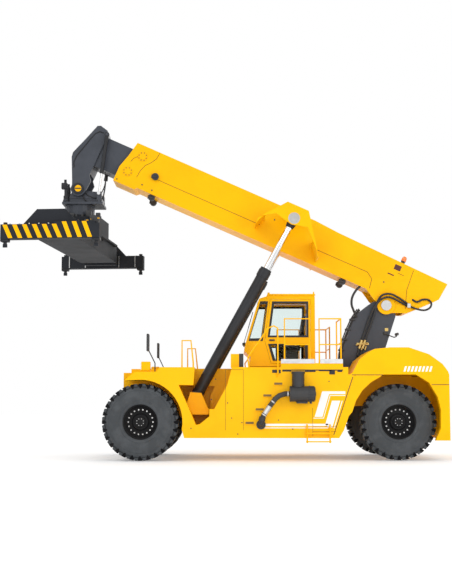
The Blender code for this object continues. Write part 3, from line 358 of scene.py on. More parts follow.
# Lift cylinders: black painted tubes with a bolted gland and a hard-chromed rod.
# Barrels swing on the base pins and the rods slide in them.
chrome = finish("chrome", (0.80, 0.81, 0.82), (0.72, 0.73, 0.74), (0.06, 0.12), grain=300.0,
                bump=0.01, Metallic=1.0)
base = Vector(joints["lift_rod_slide"]["pos_m"])
along = Vector(joints["lift_rod_slide"]["axis"])
pin_to_eye = 5.2293
for side, sign in (("left", -1), ("right", 1)):
    tube = bmesh.new()
    start = base + Vector((0, sign * 1.20, 0))
    add_rod(tube, start + along * 0.12, start + along * 3.74, 0.149, 48)
    for low, high, radius in ((0.10, 0.20, 0.158), (3.52, 3.70, 0.165), (3.66, 3.76, 0.152)):
        add_rod(tube, start + along * low, start + along * high, radius, 48)
    add_rod(tube, start - Vector((0, 0.165, 0)), start + Vector((0, 0.165, 0)), 0.169, 48)
    round_off(put(tube, side + "_lift_tube", black, "lift_barrels", "black_paint",
                  side + "_lift_barrel"))
    rod = bmesh.new()
    add_rod(rod, start + along * 1.45, start + along * (pin_to_eye - 0.05), 0.085, 48)
    round_off(put(rod, side + "_bright_rod", chrome, "lift_rods", "chrome", side + "_lift_rod"))
    eye = bmesh.new()
    end = start + along * pin_to_eye
    add_rod(eye, end - Vector((0, 0.12, 0)), end + Vector((0, 0.12, 0)), 0.155, 48)
    add_rod(eye, end - along * 0.24, end - along * 0.10, 0.10, 48, 0.13)
    round_off(put(eye, side + "_rod_eye", black, "lift_rods", "black_paint"))

# Spreader dampers: small cylinders beside the boom head, black with bright rods.
top = Vector(joints["damper_slide"]["pos_m"])
down = Vector(joints["damper_slide"]["axis"])
for side, sign in (("left", -1), ("right", 1)):
    start = top + Vector((0, sign * 0.50, 0))
    tube = bmesh.new()
    add_rod(tube, start + down * 0.03, start + down * 1.05, 0.049, 32)
    add_rod(tube, start + down * 0.98, start + down * 1.06, 0.054, 32)
    add_rod(tube, start - Vector((0, 0.04, 0)), start + Vector((0, 0.04, 0)), 0.064, 32)
    round_off(put(tube, side + "_damper_tube", black, "boom_head", "black_paint",
                  side + "_damper_barrel"))
    rod = bmesh.new()
    add_rod(rod, start + down * 0.55, start + down * 1.578, 0.0245, 32)
    end = start + down * 1.5974
    add_rod(rod, end - Vector((0, 0.03, 0)), end + Vector((0, 0.03, 0)), 0.045, 32)
    round_off(put(rod, side + "_damper_bright_rod", chrome, "damper_rods", "chrome",
                  side + "_damper_rod"))

# Cab: a welded box with a big raked screen, black rubber window gaskets, tinted
# panes in doors and corners, and a flat roof with a drip rail and short posts.
glass = bpy.data.materials.new("tinted_glass")
glass.use_nodes = True
pane = glass.node_tree.nodes["Principled BSDF"]
for socket, value in (("Base Color", (0.86, 0.92, 0.91, 1)), ("Roughness", 0.03),
                      ("Transmission Weight", 1.0), ("IOR", 1.12)):
    pane.inputs[socket].default_value = value
haze = node(glass.node_tree, "ShaderNodeTexNoise", Scale=2.0, Detail=2.0)
relief = node(glass.node_tree, "ShaderNodeBump", Strength=0.01, Distance=0.001)
glass.node_tree.links.new(haze.outputs["Fac"], relief.inputs["Height"])
glass.node_tree.links.new(relief.outputs["Normal"], pane.inputs["Normal"])
coat(glass, "windscreen", "rear_window")
plastic = finish("black_plastic", (0.020, 0.020, 0.022), (0.030, 0.030, 0.031), (0.45, 0.62),
                 grain=220.0, bump=0.15)
coat(plastic, "seat_stand", "steering_wheel", "air_cleaner", "left_mirror", "right_mirror",
     "intake_pipe")
gasket_rubber = finish("gasket_rubber", (0.012, 0.012, 0.012), (0.02, 0.02, 0.02), (0.6, 0.75),
                       grain=160.0)


def middle_of(outline):
    """The average of an outline's corners."""
    return sum((Vector(p) for p in outline), Vector((0, 0))) / len(outline)


def add_frame(mesh, outline, width, y_near, y_far):
    """A flat ring inside an outline drawn in x and z, its width measured at the corners."""
    middle = middle_of(outline)
    edges = []
    for inset in (0, width):
        ring = [Vector(p) - (Vector(p) - middle).normalized() * inset for p in outline]
        corners = [mesh.verts.new((p.x, y_near, p.y)) for p in ring]
        edges += [mesh.edges.new(ends) for ends in zip(corners, corners[1:] + corners[:1])]
    thicken(mesh, bmesh.ops.bridge_loops(mesh, edges=edges)["faces"], y_far - y_near)


def outline_at(points):
    """An outline whose x is counted from the middle of the wheelbase."""
    return [(x + half_way, z) for x, z in points]


upper = [(0.12, 4.04), (1.04, 4.04), (1.04, 3.12), (0.00, 3.12)]
lower = [(0.01, 2.94), (1.02, 2.94), (1.02, 2.51), (0.13, 2.51)]
quarter = [(-0.195, 4.04), (0.0, 4.04), (-0.14, 3.03), (-0.50, 3.03)]
for side, sign in (("left", -1), ("right", 1)):
    for name, outline, body in (("upper", upper, side + "_door"), ("lower", lower, side + "_door"),
                                ("corner", quarter, "chassis")):
        middle = middle_of(outline)
        grown = [Vector(p) + (Vector(p) - middle).normalized() * 0.012 for p in outline]
        seal = bmesh.new()
        add_frame(seal, outline_at(grown), 0.075, sign * 0.806, sign * 0.758)
        put(seal, f"{side}_{name}_gasket", gasket_rubber, body, "black_plastic")
        sheet = bmesh.new()
        add_plate(sheet, outline_at(outline), sign * 0.782, sign * 0.776)
        put(sheet, f"{side}_{name}_pane", glass, body, "tinted_glass")
    grip = bmesh.new()
    near, far = sorted((sign * 0.80, sign * 0.835))
    add_box(grip, at(0.03, near, 3.02), at(0.17, far, 3.06), 0.008)
    put(grip, side + "_door_handle", plastic, side + "_door", "black_plastic")
seal = bmesh.new()
for low, high in (((-0.01, -0.70, 4.02), (0.02, 0.70, 4.06)),
                  ((-0.62, -0.72, 2.945), (-0.585, 0.72, 2.985))):
    add_box(seal, at(*low), at(*high), 0.006)
put(seal, "screen_gasket", gasket_rubber, "chassis", "black_plastic")
roof = bmesh.new()
add_box(roof, at(-0.02, -0.83, 4.195), at(1.23, 0.83, 4.245), 0.018)
add_box(roof, at(-0.03, -0.815, 4.12), at(0.02, 0.815, 4.21), 0.012)
for y in (-0.78, 0.78):
    add_rod(roof, at(1.19, y, 4.2), at(1.19, y, 4.30), 0.018, 12)
    add_rod(roof, at(0.02, y, 4.2), at(0.02, y, 4.28), 0.03, 16)
round_off(put(roof, "cab_roof_rail", yellow, "chassis", "yellow_paint"))
wiper = bmesh.new()
add_rod(wiper, at(-0.62, -0.25, 2.99), at(-0.43, -0.05, 3.62), 0.008, 10)
add_rod(wiper, at(-0.50, -0.16, 3.40), at(-0.37, 0.02, 3.84), 0.010, 10)
add_box(wiper, at(-0.66, -0.31, 2.93), at(-0.58, -0.19, 3.00), 0.01)
put(wiper, "screen_wiper", plastic, "chassis", "black_plastic")

# Seat: woven black cloth over foam, a crowned cushion and a curved back with
# sewn side bolsters, on a plastic stand.
cloth = finish("seat_fabric", (0.022, 0.022, 0.026), (0.035, 0.035, 0.04), (0.85, 0.95), grain=500.0,
               bump=0.4, Sheen_Weight=0.3)
for name, solid in (("crowned_cushion", "seat_cushion"), ("curved_back", "seat_back")):
    low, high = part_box(solid)
    pad = bmesh.new()
    bmesh.ops.create_cube(pad, size=1)
    bmesh.ops.subdivide_edges(pad, edges=pad.edges[:], cuts=7, use_grid_fill=True)
    size = high - low
    for v in pad.verts:
        u, w, t = v.co * 2
        if name == "crowned_cushion":
            dome = (1 - u * u) * (1 - w * w)
            v.co.x *= 1 - 0.06 * (t * t) * (1 - abs(u)) - 0.05 * abs(w) ** 4
            v.co.y *= 1 - 0.05 * abs(u) ** 4
            v.co.z *= 0.80 + 0.20 * dome if t > 0 else 0.97
            if t > 0 and 0.55 < abs(w) < 0.80:
                v.co.z += 0.05
            v.co = Vector((v.co.x * size.x, v.co.y * size.y, v.co.z * size.z)) + (low + high) / 2
        else:
            lean = 0.5 + v.co.z
            thick = 0.12 * (0.75 + 0.25 * (1 - u * u))
            v.co.y *= 1 - 0.18 * lean ** 3
            bolster = 0.02 if 0.5 < abs(w) < 0.85 else 0.0
            v.co = Vector((low.x + 0.06 + 0.13 * lean + thick * v.co.x * 0.9 - bolster * (u < 0),
                           v.co.y * size.y, low.z + 0.01 + lean * (size.z - 0.02)))
    piece = put(pad, name, cloth, "chassis", "seat_fabric", solid)
    piece.data.shade_smooth()
    soft = piece.modifiers.new("foam", "SUBSURF")
    soft.levels = soft.render_levels = 1

# Deck edges and steps: folded plate in yellow, with pale galvanised kick plates
# along the walkway.
zinc = finish("galvanised_plate", (0.62, 0.63, 0.64), (0.50, 0.51, 0.52), (0.4, 0.6), patch=6.0)
kick = bmesh.new()
for x0, x1 in ((0.27, 1.10), (1.24, 1.80)):
    add_box(kick, at(x0, -2.062, 2.39), at(x1, -2.052, 2.50), 0.003)
put(kick, "kick_plates", zinc, "chassis", "yellow_paint")
step_places = ((0.20, 1.90), (-0.07, 1.61), (-0.26, 1.27), (-0.51, 0.94))
# Dark yellow plates above each tread: painted shade in the step niches.
steps = bmesh.new()
for x, z in step_places:
    add_box(steps, at(x - 0.10, -2.054, z - 0.035), at(x + 0.10, -2.046, z + 0.02), 0.003)
niche = finish("shadowed_niche", (0.20, 0.11, 0.002), (0.13, 0.07, 0.001))
put(steps, "step_niches", niche, "chassis", "yellow_paint")
treads = bmesh.new()
for x, z in step_places:
    add_box(treads, at(x - 0.12, -2.075, z - 0.05), at(x + 0.12, -2.046, z - 0.035), 0.004)
round_off(put(treads, "step_treads", yellow, "chassis", "yellow_paint"))

# Side plates: doors and lids over tank, battery and filters. Their joints are
# narrow dark gaps, closed with hex bolts, and square lamps stand over the front.
gap = finish("panel_gap", (0.10, 0.055, 0.002), (0.06, 0.035, 0.002), (0.6, 0.8))
gaps = bmesh.new()
for sign in (-1, 1):
    y0, y1 = sorted((sign * 2.052, sign * 2.046))
    for x in (-1.10, -0.66, 1.04):
        foot, head = (0.75, 2.24) if x < 0 else (0.60, 1.30)
        add_box(gaps, at(x - 0.004, y0, foot), at(x + 0.004, y1, head))
    for x0, x1, z in ((-1.10, -0.66, 2.24), (1.04, 1.62, 0.84), (1.04, 1.62, 0.72)):
        add_box(gaps, at(x0, y0, z - 0.004), at(x1, y1, z + 0.004))
put(gaps, "panel_gaps", gap, "chassis", "yellow_paint")
bolts = bmesh.new()
for sign in (-1, 1):
    for x, z in ((-1.35, 2.0), (-1.45, 1.5), (-1.05, 1.42), (-0.95, 1.05), (-0.70, 0.94),
                 (0.55, 0.78), (0.20, 1.0), (1.45, 1.95), (-0.8, 0.66), (-1.95, 0.8)):
        add_rod(bolts, at(x, sign * 2.046, z), at(x, sign * 2.062, z), 0.016, 6)
put(bolts, "panel_bolts", iron, "chassis", "cast_iron")
lamps = bmesh.new()
for sign in (-1, 1):
    add_box(lamps, at(-3.19, sign * 1.85 - 0.12, 2.21), at(-2.97, sign * 1.85 + 0.12, 2.44), 0.015)
round_off(put(lamps, "head_lamp_boxes", yellow, "chassis", "yellow_paint"))
lens = bmesh.new()
for sign in (-1, 1):
    add_box(lens, at(-3.205, sign * 1.85 - 0.10, 2.23), at(-3.185, sign * 1.85 + 0.10, 2.42), 0.008)
lamp_glass = finish("lamp_lens", (0.75, 0.76, 0.78), (0.6, 0.62, 0.64), (0.05, 0.1), grain=60.0,
                    bump=0.3)
put(lens, "head_lamps", lamp_glass, "chassis", "tinted_glass")

# Air cleaner: ribbed plastic drum with an end cap and clips under a rain hood, a
# bright steel sleeve in its pipe, and black mounts under the walkway above it, with
# a long black strip that is partly painted shade in the gap below the walkway.
drum_y, drum_z = left_face - 0.20, 1.64
cleaner = bmesh.new()
for x0, x1, radius in ((0.47, 0.50, 0.196), (0.62, 0.64, 0.195), (0.78, 0.80, 0.195),
                       (0.94, 0.97, 0.199), (1.07, 1.09, 0.165)):
    add_rod(cleaner, at(x0, drum_y, drum_z), at(x1, drum_y, drum_z), radius, 48)
add_rod(cleaner, at(1.09, drum_y, drum_z), at(1.11, drum_y, drum_z), 0.05, 24)
for turned in range(6):
    angle = radians(60 * turned + 30)
    y, z = drum_y + 0.2 * sin(angle), drum_z + 0.2 * cos(angle)
    add_box(cleaner, at(0.925, y - 0.014, z - 0.014), at(1.01, y + 0.014, z + 0.014), 0.004)
for z0, z1, radius in ((1.84, 1.87, 0.158), (1.98, 2.0, 0.156), (2.13, 2.19, 0.166)):
    add_rod(cleaner, at(0.68, left_face - 0.16, z0), at(0.68, left_face - 0.16, z1), radius, 48)
add_box(cleaner, at(0.64, left_face - 0.27, 1.405), at(0.90, left_face - 0.03, 1.46), 0.01)
add_rod(cleaner, at(0.98, drum_y - 0.05, 1.40), at(0.98, drum_y - 0.05, 1.47), 0.028, 16)
round_off(put(cleaner, "air_cleaner_ribs", plastic, "chassis", "black_plastic"))
pipe_y = left_face - 0.18
collars = bmesh.new()
for a, b, radius in (((0.44, 1.64), (0.41, 1.64), 0.072), ((0.07, 1.455), (0.05, 1.43), 0.073),
                     ((-0.155, 1.14), (-0.17, 1.117), 0.073), ((-0.02, 1.34), (-0.145, 1.157), 0.069)):
    add_rod(collars, at(a[0], pipe_y, a[1]), at(b[0], pipe_y, b[1]), radius, 32)
round_off(put(collars, "pipe_sleeve", steel, "chassis", "chrome"))
elbow = bmesh.new()
add_rod(elbow, at(-0.23, left_face - 0.045, 0.89), at(-0.23, left_face + 0.001, 0.89), 0.115, 32)
for turned in range(6):
    angle = radians(60 * turned)
    x, z = -0.23 + 0.095 * cos(angle), 0.89 + 0.095 * sin(angle)
    add_rod(elbow, at(x, left_face - 0.06, z), at(x, left_face - 0.044, z), 0.013, 6)
add_rod(elbow, at(-0.195, pipe_y, 1.075), at(-0.225, pipe_y, 0.975), 0.082, 32)
round_off(put(elbow, "pipe_flange", plastic, "chassis", "black_plastic"))
# Black boxes and a long strip under the walkway: partly real mounts, partly painted shade in the gap
# below the platform.
mounts_and_shade = bmesh.new()
for x0, x1, foot in ((0.05, 0.17, 2.16), (0.18, 0.26, 2.15), (0.30, 0.52, 2.19), (0.86, 1.12, 2.18),
                     (1.20, 1.52, 2.20), (1.46, 1.60, 2.12), (1.66, 1.78, 2.18)):
    add_box(mounts_and_shade, at(x0, left_face - 0.012, foot), at(x1, left_face + 0.01, 2.235), 0.004)
add_box(mounts_and_shade, at(0.30, left_face - 0.006, 2.215), at(1.80, left_face + 0.01, 2.24), 0.002)
put(mounts_and_shade, "walkway_mounts_and_shade", gasket_rubber, "chassis", "black_plastic")

# Deck cabinet: a yellow steel box whose rear third is a slatted black cover.
grille = bmesh.new()
low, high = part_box("deck_cabinet")
add_box(grille, (high.x - 0.105, low.y - 0.006, low.z + 0.01),
        (high.x + 0.006, high.y + 0.006, high.z + 0.006), 0.006)
for count in range(5):
    z = low.z + 0.06 + 0.055 * count
    add_box(grille, (high.x - 0.09, low.y - 0.014, z), (high.x - 0.01, low.y - 0.005, z + 0.022), 0.003)
put(grille, "cabinet_grille", plastic, "chassis", "black_plastic")

# Joints between side body, rear fender and hood: narrow black gaps, one sloping
# down ahead of the rear wheel and one along the foot of the hood.
seams = bmesh.new()
for shape in ([(2.03, 2.06), (2.05, 2.06), (1.565, 0.64), (1.545, 0.64)],
              [(2.02, 2.10), (2.78, 2.10), (2.78, 2.117), (2.02, 2.117)],
              [(3.98, 1.86), (4.415, 1.86), (4.415, 1.875), (3.98, 1.875)]):
    for sign in (-1, 1):
        add_plate(seams, [(x + half_way, z) for x, z in shape], sign * 2.052, sign * 2.047)
put(seams, "fender_seams", gasket_rubber, "chassis", "black_plastic")

# Outer boom: two pivot bosses with pin caps, bolted slide-pad covers at its mouth,
# dark weld lines, black work lamps and an amber beacon. Drawn along and across it.
pivot = Vector(joints["boom_lift"]["pos_m"])
reach = Vector(joints["boom_extend"]["axis"])
rise = Vector((reach.z, 0, -reach.x))
boom_frame = Matrix(((reach.x, 0, rise.x, pivot.x), (0, 1, 0, 0),
                     (reach.z, 0, rise.z, pivot.z), (0, 0, 0, 1)))
cheek = 0.449              # just inside the face of the boom's side plate
coat(slate, "boom_tower", "inner_boom", "gooseneck", "hang_frame")
coat(steel, "boom_pivot_pin")


def on_boom(mesh):
    """Moves a mesh drawn along and across the boom to its place."""
    bmesh.ops.transform(mesh, matrix=boom_frame, verts=mesh.verts)
    return mesh


caps = bmesh.new()
covers = bmesh.new()
studs = bmesh.new()
for sign in (-1, 1):
    add_rod(caps, (0, sign * 0.49, 0), (0, sign * 0.515, 0), 0.13, 40)
    add_rod(caps, (0, sign * 0.51, 0), (0, sign * 0.525, 0), 0.10, 40)
    add_rod(caps, (3.13, sign * 1.438, 0.97), (3.13, sign * 1.444, 0.97), 0.15, 40)
    add_rod(caps, (3.13, sign * 1.44, 0.97), (3.13, sign * 1.468, 0.97), 0.095, 40)
    for u, v in ((7.50, 1.03), (7.70, 0.50)):
        add_rod(covers, (u, sign * cheek, v), (u, sign * 0.462, v), 0.125, 36)
        add_rod(covers, (u, sign * 0.46, v), (u, sign * 0.470, v), 0.085, 36)
        for count in range(8):
            angle = 2 * pi * count / 8
            x, z = u + 0.105 * cos(angle), v + 0.105 * sin(angle)
            add_rod(studs, (x, sign * 0.461, z), (x, sign * 0.474, z), 0.013, 6)
    for u, v in ((7.20, 0.33), (6.9, 0.30), (7.88, 0.20), (3.6, 0.9), (0.3, 0.55)):
        add_rod(studs, (u, sign * cheek, v), (u, sign * 0.462, v), 0.02, 6)
round_off(put(on_boom(caps), "pin_caps", steel, "boom", "chrome"))
round_off(put(on_boom(covers), "pad_covers", yellow, "boom", "yellow_paint"))
put(on_boom(studs), "boom_studs", iron, "boom", "cast_iron")
welds = bmesh.new()
for line in (((7.12, 1.31), (7.14, 1.12), (7.22, 0.98), (7.34, 0.84), (7.40, 0.66), (7.42, 0.46)),
             ((7.62, 0.98), (7.70, 0.90), (7.74, 0.78)),
             ((6.9, 0.62), (3.9, 0.62)), ((2.30, 0.62), (0.80, 0.62), (0.62, 0.50), (0.58, 0.24)),
             ((-0.30, 1.15), (-0.34, 0.60), (-0.50, 0.12)), ((0.05, 0.92), (-0.12, 0.92))):
    for a, b in zip(line, line[1:]):
        for sign in (-1, 1):
            add_rod(welds, (a[0], sign * cheek, a[1]), (b[0], sign * cheek, b[1]), 0.007, 6)
put(on_boom(welds), "boom_weld_lines", gap, "boom", "yellow_paint")
# Dark red plates flush on each boom side near the pivot: painted shade in the pockets there.
pocket = bmesh.new()
for sign in (-1, 1):
    add_box(pocket, (0.02, sign * 0.4515 - 0.003, 0.98), (0.20, sign * 0.4515 + 0.003, 1.12), 0.004)
    add_box(pocket, (0.12, sign * 0.452 - 0.003, 0.80), (0.30, sign * 0.452 + 0.003, 0.83), 0.004)
pocket_shade_paint = finish("painted_pocket_shade", (0.10, 0.012, 0.004), (0.05, 0.006, 0.003))
put(on_boom(pocket), "boom_pockets", pocket_shade_paint, "boom", "black_paint")
lamp = bmesh.new()
for sign in (-1, 1):
    for u, v, y in ((6.96, 0.66, 0.45), (6.84, 0.13, 0.30), (1.30, 0.13, 0.30)):
        add_rod(lamp, (u, sign * y, v), (u, sign * (y + 0.09), v), 0.085, 28, 0.095)
        add_rod(lamp, (u + 0.10, sign * (y + 0.06), v - 0.02),
                (u - 0.04, sign * (y + 0.06), v), 0.05, 20)
round_off(put(on_boom(lamp), "boom_work_lamps", plastic, "boom", "black_plastic"))
beacon = bmesh.new()
add_rod(beacon, (-0.02, 0.20, 1.2171), (-0.02, 0.20, 1.36), 0.030, 32)
add_rod(beacon, (-0.02, 0.20, 1.33), (-0.02, 0.20, 1.385), 0.056, 32)
round_off(put(on_boom(beacon), "beacon_base", plastic, "boom", "black_plastic"))
amber = bpy.data.materials.new("amber_lens")
amber.use_nodes = True
dome_shader = amber.node_tree.nodes["Principled BSDF"]
for socket, value in (("Base Color", (0.95, 0.22, 0.01, 1)), ("Roughness", 0.12),
                      ("Coat Weight", 0.5), ("Subsurface Weight", 0.3)):
    dome_shader.inputs[socket].default_value = value
ribs = node(amber.node_tree, "ShaderNodeTexWave", Scale=30.0)
relief = node(amber.node_tree, "ShaderNodeBump", Strength=0.4, Distance=0.003)
place = node(amber.node_tree, "ShaderNodeTexCoord")
amber.node_tree.links.new(place.outputs["Object"], ribs.inputs["Vector"])
amber.node_tree.links.new(ribs.outputs["Fac"], relief.inputs["Height"])
amber.node_tree.links.new(relief.outputs["Normal"], dome_shader.inputs["Normal"])
dome = bmesh.new()
add_rod(dome, (-0.02, 0.20, 1.385), (-0.02, 0.20, 1.485), 0.072, 32, 0.066)
add_rod(dome, (-0.02, 0.20, 1.48), (-0.02, 0.20, 1.518), 0.066, 32, 0.040)
round_off(put(on_boom(dome), "amber_dome", amber, "boom", "amber_lens", "beacon"))

# Hoses: steel-wire hydraulic hose in black rubber, clamped at brass fittings on
# the tower, looped over the pivot and clipped under the tail of the boom.
hose_rubber = finish("hose_rubber", (0.016, 0.016, 0.017), (0.026, 0.026, 0.027), (0.5, 0.7),
                     grain=200.0)
brass = finish("brass", (0.62, 0.45, 0.16), (0.50, 0.34, 0.12), (0.3, 0.45), Metallic=0.9)


def hose(name, points, radius, body, across=None):
    """A round hose along a smooth curve, riding on a body, or left fixed on none where it crosses a
    joint.
    """
    points = [Vector(p) for p in points]
    ends = [2 * points[0] - points[1]] + points + [2 * points[-1] - points[-2]]
    path = []
    for a, b, c, d in zip(ends, ends[1:], ends[2:], ends[3:]):
        for step in range(6):
            t = step / 6
            path.append(0.5 * (2 * b + (c - a) * t + (2 * a - 5 * b + 4 * c - d) * t * t
                               + (3 * b - a - 3 * c + d) * t ** 3))
    path.append(points[-1])
    line = bpy.data.curves.new(name, "CURVE")
    line.dimensions = "3D"
    line.bevel_depth = radius
    line.bevel_resolution = 3
    line.use_fill_caps = True
    spline = line.splines.new("POLY")
    spline.points.add(len(path) - 1)
    for knot, place in zip(spline.points, path):
        knot.co = (*place, 1)
    spare = bpy.data.objects.new(name, line)
    bpy.context.scene.collection.objects.link(spare)
    bpy.context.view_layer.update()
    tube = bmesh.new()
    tube.from_mesh(spare.to_mesh())
    spare.to_mesh_clear()
    bpy.data.objects.remove(spare, do_unlink=True)
    bmesh.ops.remove_doubles(tube, verts=tube.verts, dist=0.0001)
    bmesh.ops.recalc_face_normals(tube, faces=tube.faces)
    data = bpy.data.meshes.new(name)
    tube.to_mesh(data)
    tube.free()
    data.materials.append(hose_rubber)
    data.shade_smooth()
    piece = bpy.data.objects.new(name, data)
    bpy.context.scene.collection.objects.link(piece)
    if across:
        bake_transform(piece)
    else:
        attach(piece, body)


side_plate = -0.415
for index in range(2):
    y = side_plate - 0.029
    shift = 0.09 * index
    hose(f"tower_hose_{index + 1}",
         [(3.24 + shift, y, 2.62), (3.34 + shift, y, 2.95), (3.46 + shift, y, 3.30),
          (3.60 + shift, y - 0.03, 3.68), (3.75 + shift / 2, y - 0.09, 3.98 + shift),
          (3.93, y - 0.13, 4.15 + shift), (4.14, y - 0.13, 4.17 + shift),
          (4.38, y - 0.08, 4.06 + shift), (4.66, y, 3.92 + shift / 2)],
         0.028, None, ("chassis", "boom", (3.62, y, 3.68), (4.45, y, 4.0)))
hose("tail_loop_hose",
     [(4.62, -0.47, 3.965), (4.80, -0.52, 3.88), (5.02, -0.53, 3.84), (5.17, -0.52, 3.91),
      (5.21, -0.50, 4.03), (5.13, -0.48, 4.12), (4.97, -0.485, 4.12), (4.84, -0.49, 4.06),
      (4.72, -0.45, 4.13)], 0.026, "boom")
hose("underside_loop_hose",
     [(3.355, -0.40, 4.487), (3.24, -0.43, 4.37), (3.14, -0.45, 4.19), (3.12, -0.455, 4.00),
      (3.18, -0.45, 3.82), (3.25, -0.447, 3.66)],
     0.030, None, ("chassis", "boom", (3.2, -0.4, 3.75), (3.25, -0.4, 4.3)))
fittings = bmesh.new()
for index in range(2):
    x, y = 3.34 + 0.09 * index, side_plate - 0.03
    add_rod(fittings, (x - 0.035, y, 2.84), (x + 0.035, y, 3.06), 0.040, 6)
    add_rod(fittings, (x - 0.12, y - 0.02, 2.93), (x + 0.11, y - 0.02, 2.99), 0.020, 12)
    add_rod(fittings, (x + 0.02, y - 0.02, 2.80), (x + 0.06, y - 0.02, 2.90), 0.020, 12)
add_box(fittings, (3.24, -0.45, 2.93), (3.56, -0.41, 2.99), 0.006)
round_off(put(fittings, "tower_fittings", brass, "chassis", "chrome"))
clips = bmesh.new()
add_box(clips, (4.57, -0.56, 3.90), (4.66, -0.44, 4.02), 0.01)
put(clips, "tail_clip", steel, "boom", "chrome")

# Tower fittings: a rear camera on a bent arm with its plate, and the black cable
# bundle that climbs the front edge of the tower in clips.
arm = bmesh.new()
add_box(arm, (3.95, -0.445, 3.20), (4.05, -0.41, 3.28), 0.008)
add_rod(arm, (4.03, -0.44, 3.21), (4.22, -0.50, 3.13), 0.014, 12)
add_rod(arm, (4.22, -0.50, 3.13), (4.29, -0.50, 3.16), 0.014, 12)
add_rod(arm, (4.26, -0.56, 3.20), (4.32, -0.44, 3.22), 0.038, 20)
round_off(put(arm, "rear_camera_arm", plastic, "chassis", "black_plastic"))
tag = bmesh.new()
add_box(tag, (3.99, -0.420, 3.30), (4.08, -0.412, 3.38), 0.002)
put(tag, "tower_reflector", brass, "chassis", "chrome")
bundle = bmesh.new()
edge_line = [(2.86, 2.42), (2.87, 2.80), (2.95, 3.08), (3.05, 3.34), (3.17, 3.60), (3.34, 3.86)]
for strand, reach_out in enumerate((0.0, 0.035, 0.07, 0.02)):
    y = -0.40 - 0.03 * (strand % 2)
    for (x0, z0), (x1, z1) in zip(edge_line, edge_line[1:]):
        lift = 0.01 * strand
        add_rod(bundle, (x0 - reach_out, y, z0 + lift), (x1 - reach_out, y, z1 + lift), 0.017, 10)
for x, z in edge_line[1:-1]:
    add_box(bundle, (x - 0.11, -0.46, z - 0.025), (x + 0.05, -0.37, z + 0.025), 0.008)
round_off(put(bundle, "tower_cable_bundle", plastic, "chassis", "black_plastic"))

# Spreader: black box beams on four twistlocks. The end beams carry slanted yellow
# warning bars, and slewing motors and valves stand at the middle.
hang = Vector(joints["spreader_hang"]["pos_m"])
across = Vector(joints["side_shift"]["axis"])
turn = Matrix(((across.y, across.x, 0, hang.x), (-across.x, across.y, 0, 0),
               (0, 0, 1, 0), (0, 0, 0, 1)))
lock_x, lock_y = 1.1295, -2.9265       # a twistlock, from the spreader's middle
beam_face = lock_y - 0.12
beam_low, beam_high = hang.z - 1.74, hang.z - 1.38


def on_spreader(mesh, half_turn=False):
    """Moves a mesh drawn square to the spreader to its near or its far end."""
    place = turn @ Matrix.Rotation(pi, 4, "Z") if half_turn else turn
    bmesh.ops.transform(mesh, matrix=place, verts=mesh.verts)
    return mesh


spreader_black = finish("spreader_paint", (0.024, 0.026, 0.031), (0.016, 0.018, 0.021), (0.5, 0.65),
                        Specular_IOR_Level=0.08)
coat(spreader_black, "slew_carriage", "spreader_frame", "left_spreader_arm", "right_spreader_arm")
for side, flipped in (("left", False), ("right", True)):
    bars = bmesh.new()
    for count in range(10):
        x = -1.17 + 0.245 * count
        top = beam_high + (0.045 if x > 0.15 else -0.01)
        shape = [(x, top), (x + 0.11, top), (x + 0.26, beam_low + 0.02), (x + 0.15, beam_low + 0.02)]
        if x + 0.26 < 1.22:
            add_plate(bars, shape, beam_face - 0.004, beam_face + 0.003)
    put(on_spreader(bars, flipped), side + "_warning_bars", yellow, side + "_arm", "yellow_paint")
    ends = bmesh.new()
    for sign in (-1, 1):
        x = sign * lock_x
        add_box(ends, (x - 0.10, beam_face + 0.02, beam_low - 0.055),
                (x + 0.10, beam_face + 0.215, beam_low + 0.01), 0.012)
        add_rod(ends, (x, lock_y, beam_low - 0.12), (x, lock_y, beam_low - 0.05), 0.045, 24)
        add_rod(ends, (x, lock_y, beam_low + 0.35), (x, lock_y, beam_low + 0.42), 0.05, 24)
    round_off(put(on_spreader(ends, flipped), side + "_lock_housings", black, side + "_arm",
                  "black_paint"))
    rib = bmesh.new()
    for x in (-0.98, -0.5, 0.5, 0.98):
        add_box(rib, (x - 0.012, beam_face + 0.235, beam_low + 0.02),
                (x + 0.012, beam_face + 0.26, beam_high), 0.002)
    for count in range(9):
        x = -1.0 + 0.24 * count
        add_rod(rib, (x, beam_face + 0.06, beam_high + 0.002),
                (x, beam_face + 0.06, beam_high + 0.03), 0.018, 6)
    put(on_spreader(rib, flipped), side + "_beam_bolts", steel, side + "_arm", "chrome")
valves = bmesh.new()
plate_top = hang.z - 0.80
for x, y, wide, deep, tall in ((-0.46, -0.30, 0.10, 0.14, 0.16), (-0.34, -0.42, 0.08, 0.08, 0.24),
                               (0.34, -0.42, 0.14, 0.10, 0.20), (-0.10, -0.50, 0.16, 0.06, 0.12),
                               (0.46, 0.30, 0.10, 0.16, 0.18)):
    add_box(valves, (x - wide / 2, y - deep / 2, plate_top),
            (x + wide / 2, y + deep / 2, plate_top + tall), 0.012)
for x in (-0.44, -0.28, -0.12, 0.04, 0.2, 0.36):
    add_rod(valves, (x, -0.56, hang.z - 0.84), (x, -0.56, hang.z - 0.72), 0.03, 12)
round_off(put(on_spreader(valves), "slew_valves", plastic, "slewing", "black_plastic"))
motor = bmesh.new()
for x, y in ((-0.33, -0.30), (-0.33, 0.30)):
    add_rod(motor, (x, y, -0.36), (x, y, -0.18), 0.075, 24)
    add_rod(motor, (x, y, -0.18), (x, y, -0.04), 0.055, 24)
    add_box(motor, (x - 0.05, y - 0.05, -0.09), (x + 0.03, y + 0.05, 0.02), 0.012)
    add_box(motor, (x - 0.13, y - 0.07, 0.0), (x + 0.03, y + 0.07, 0.17), 0.02)
    add_rod(motor, (x - 0.03, y, 0.17), (x - 0.03, y, 0.26), 0.035, 16)
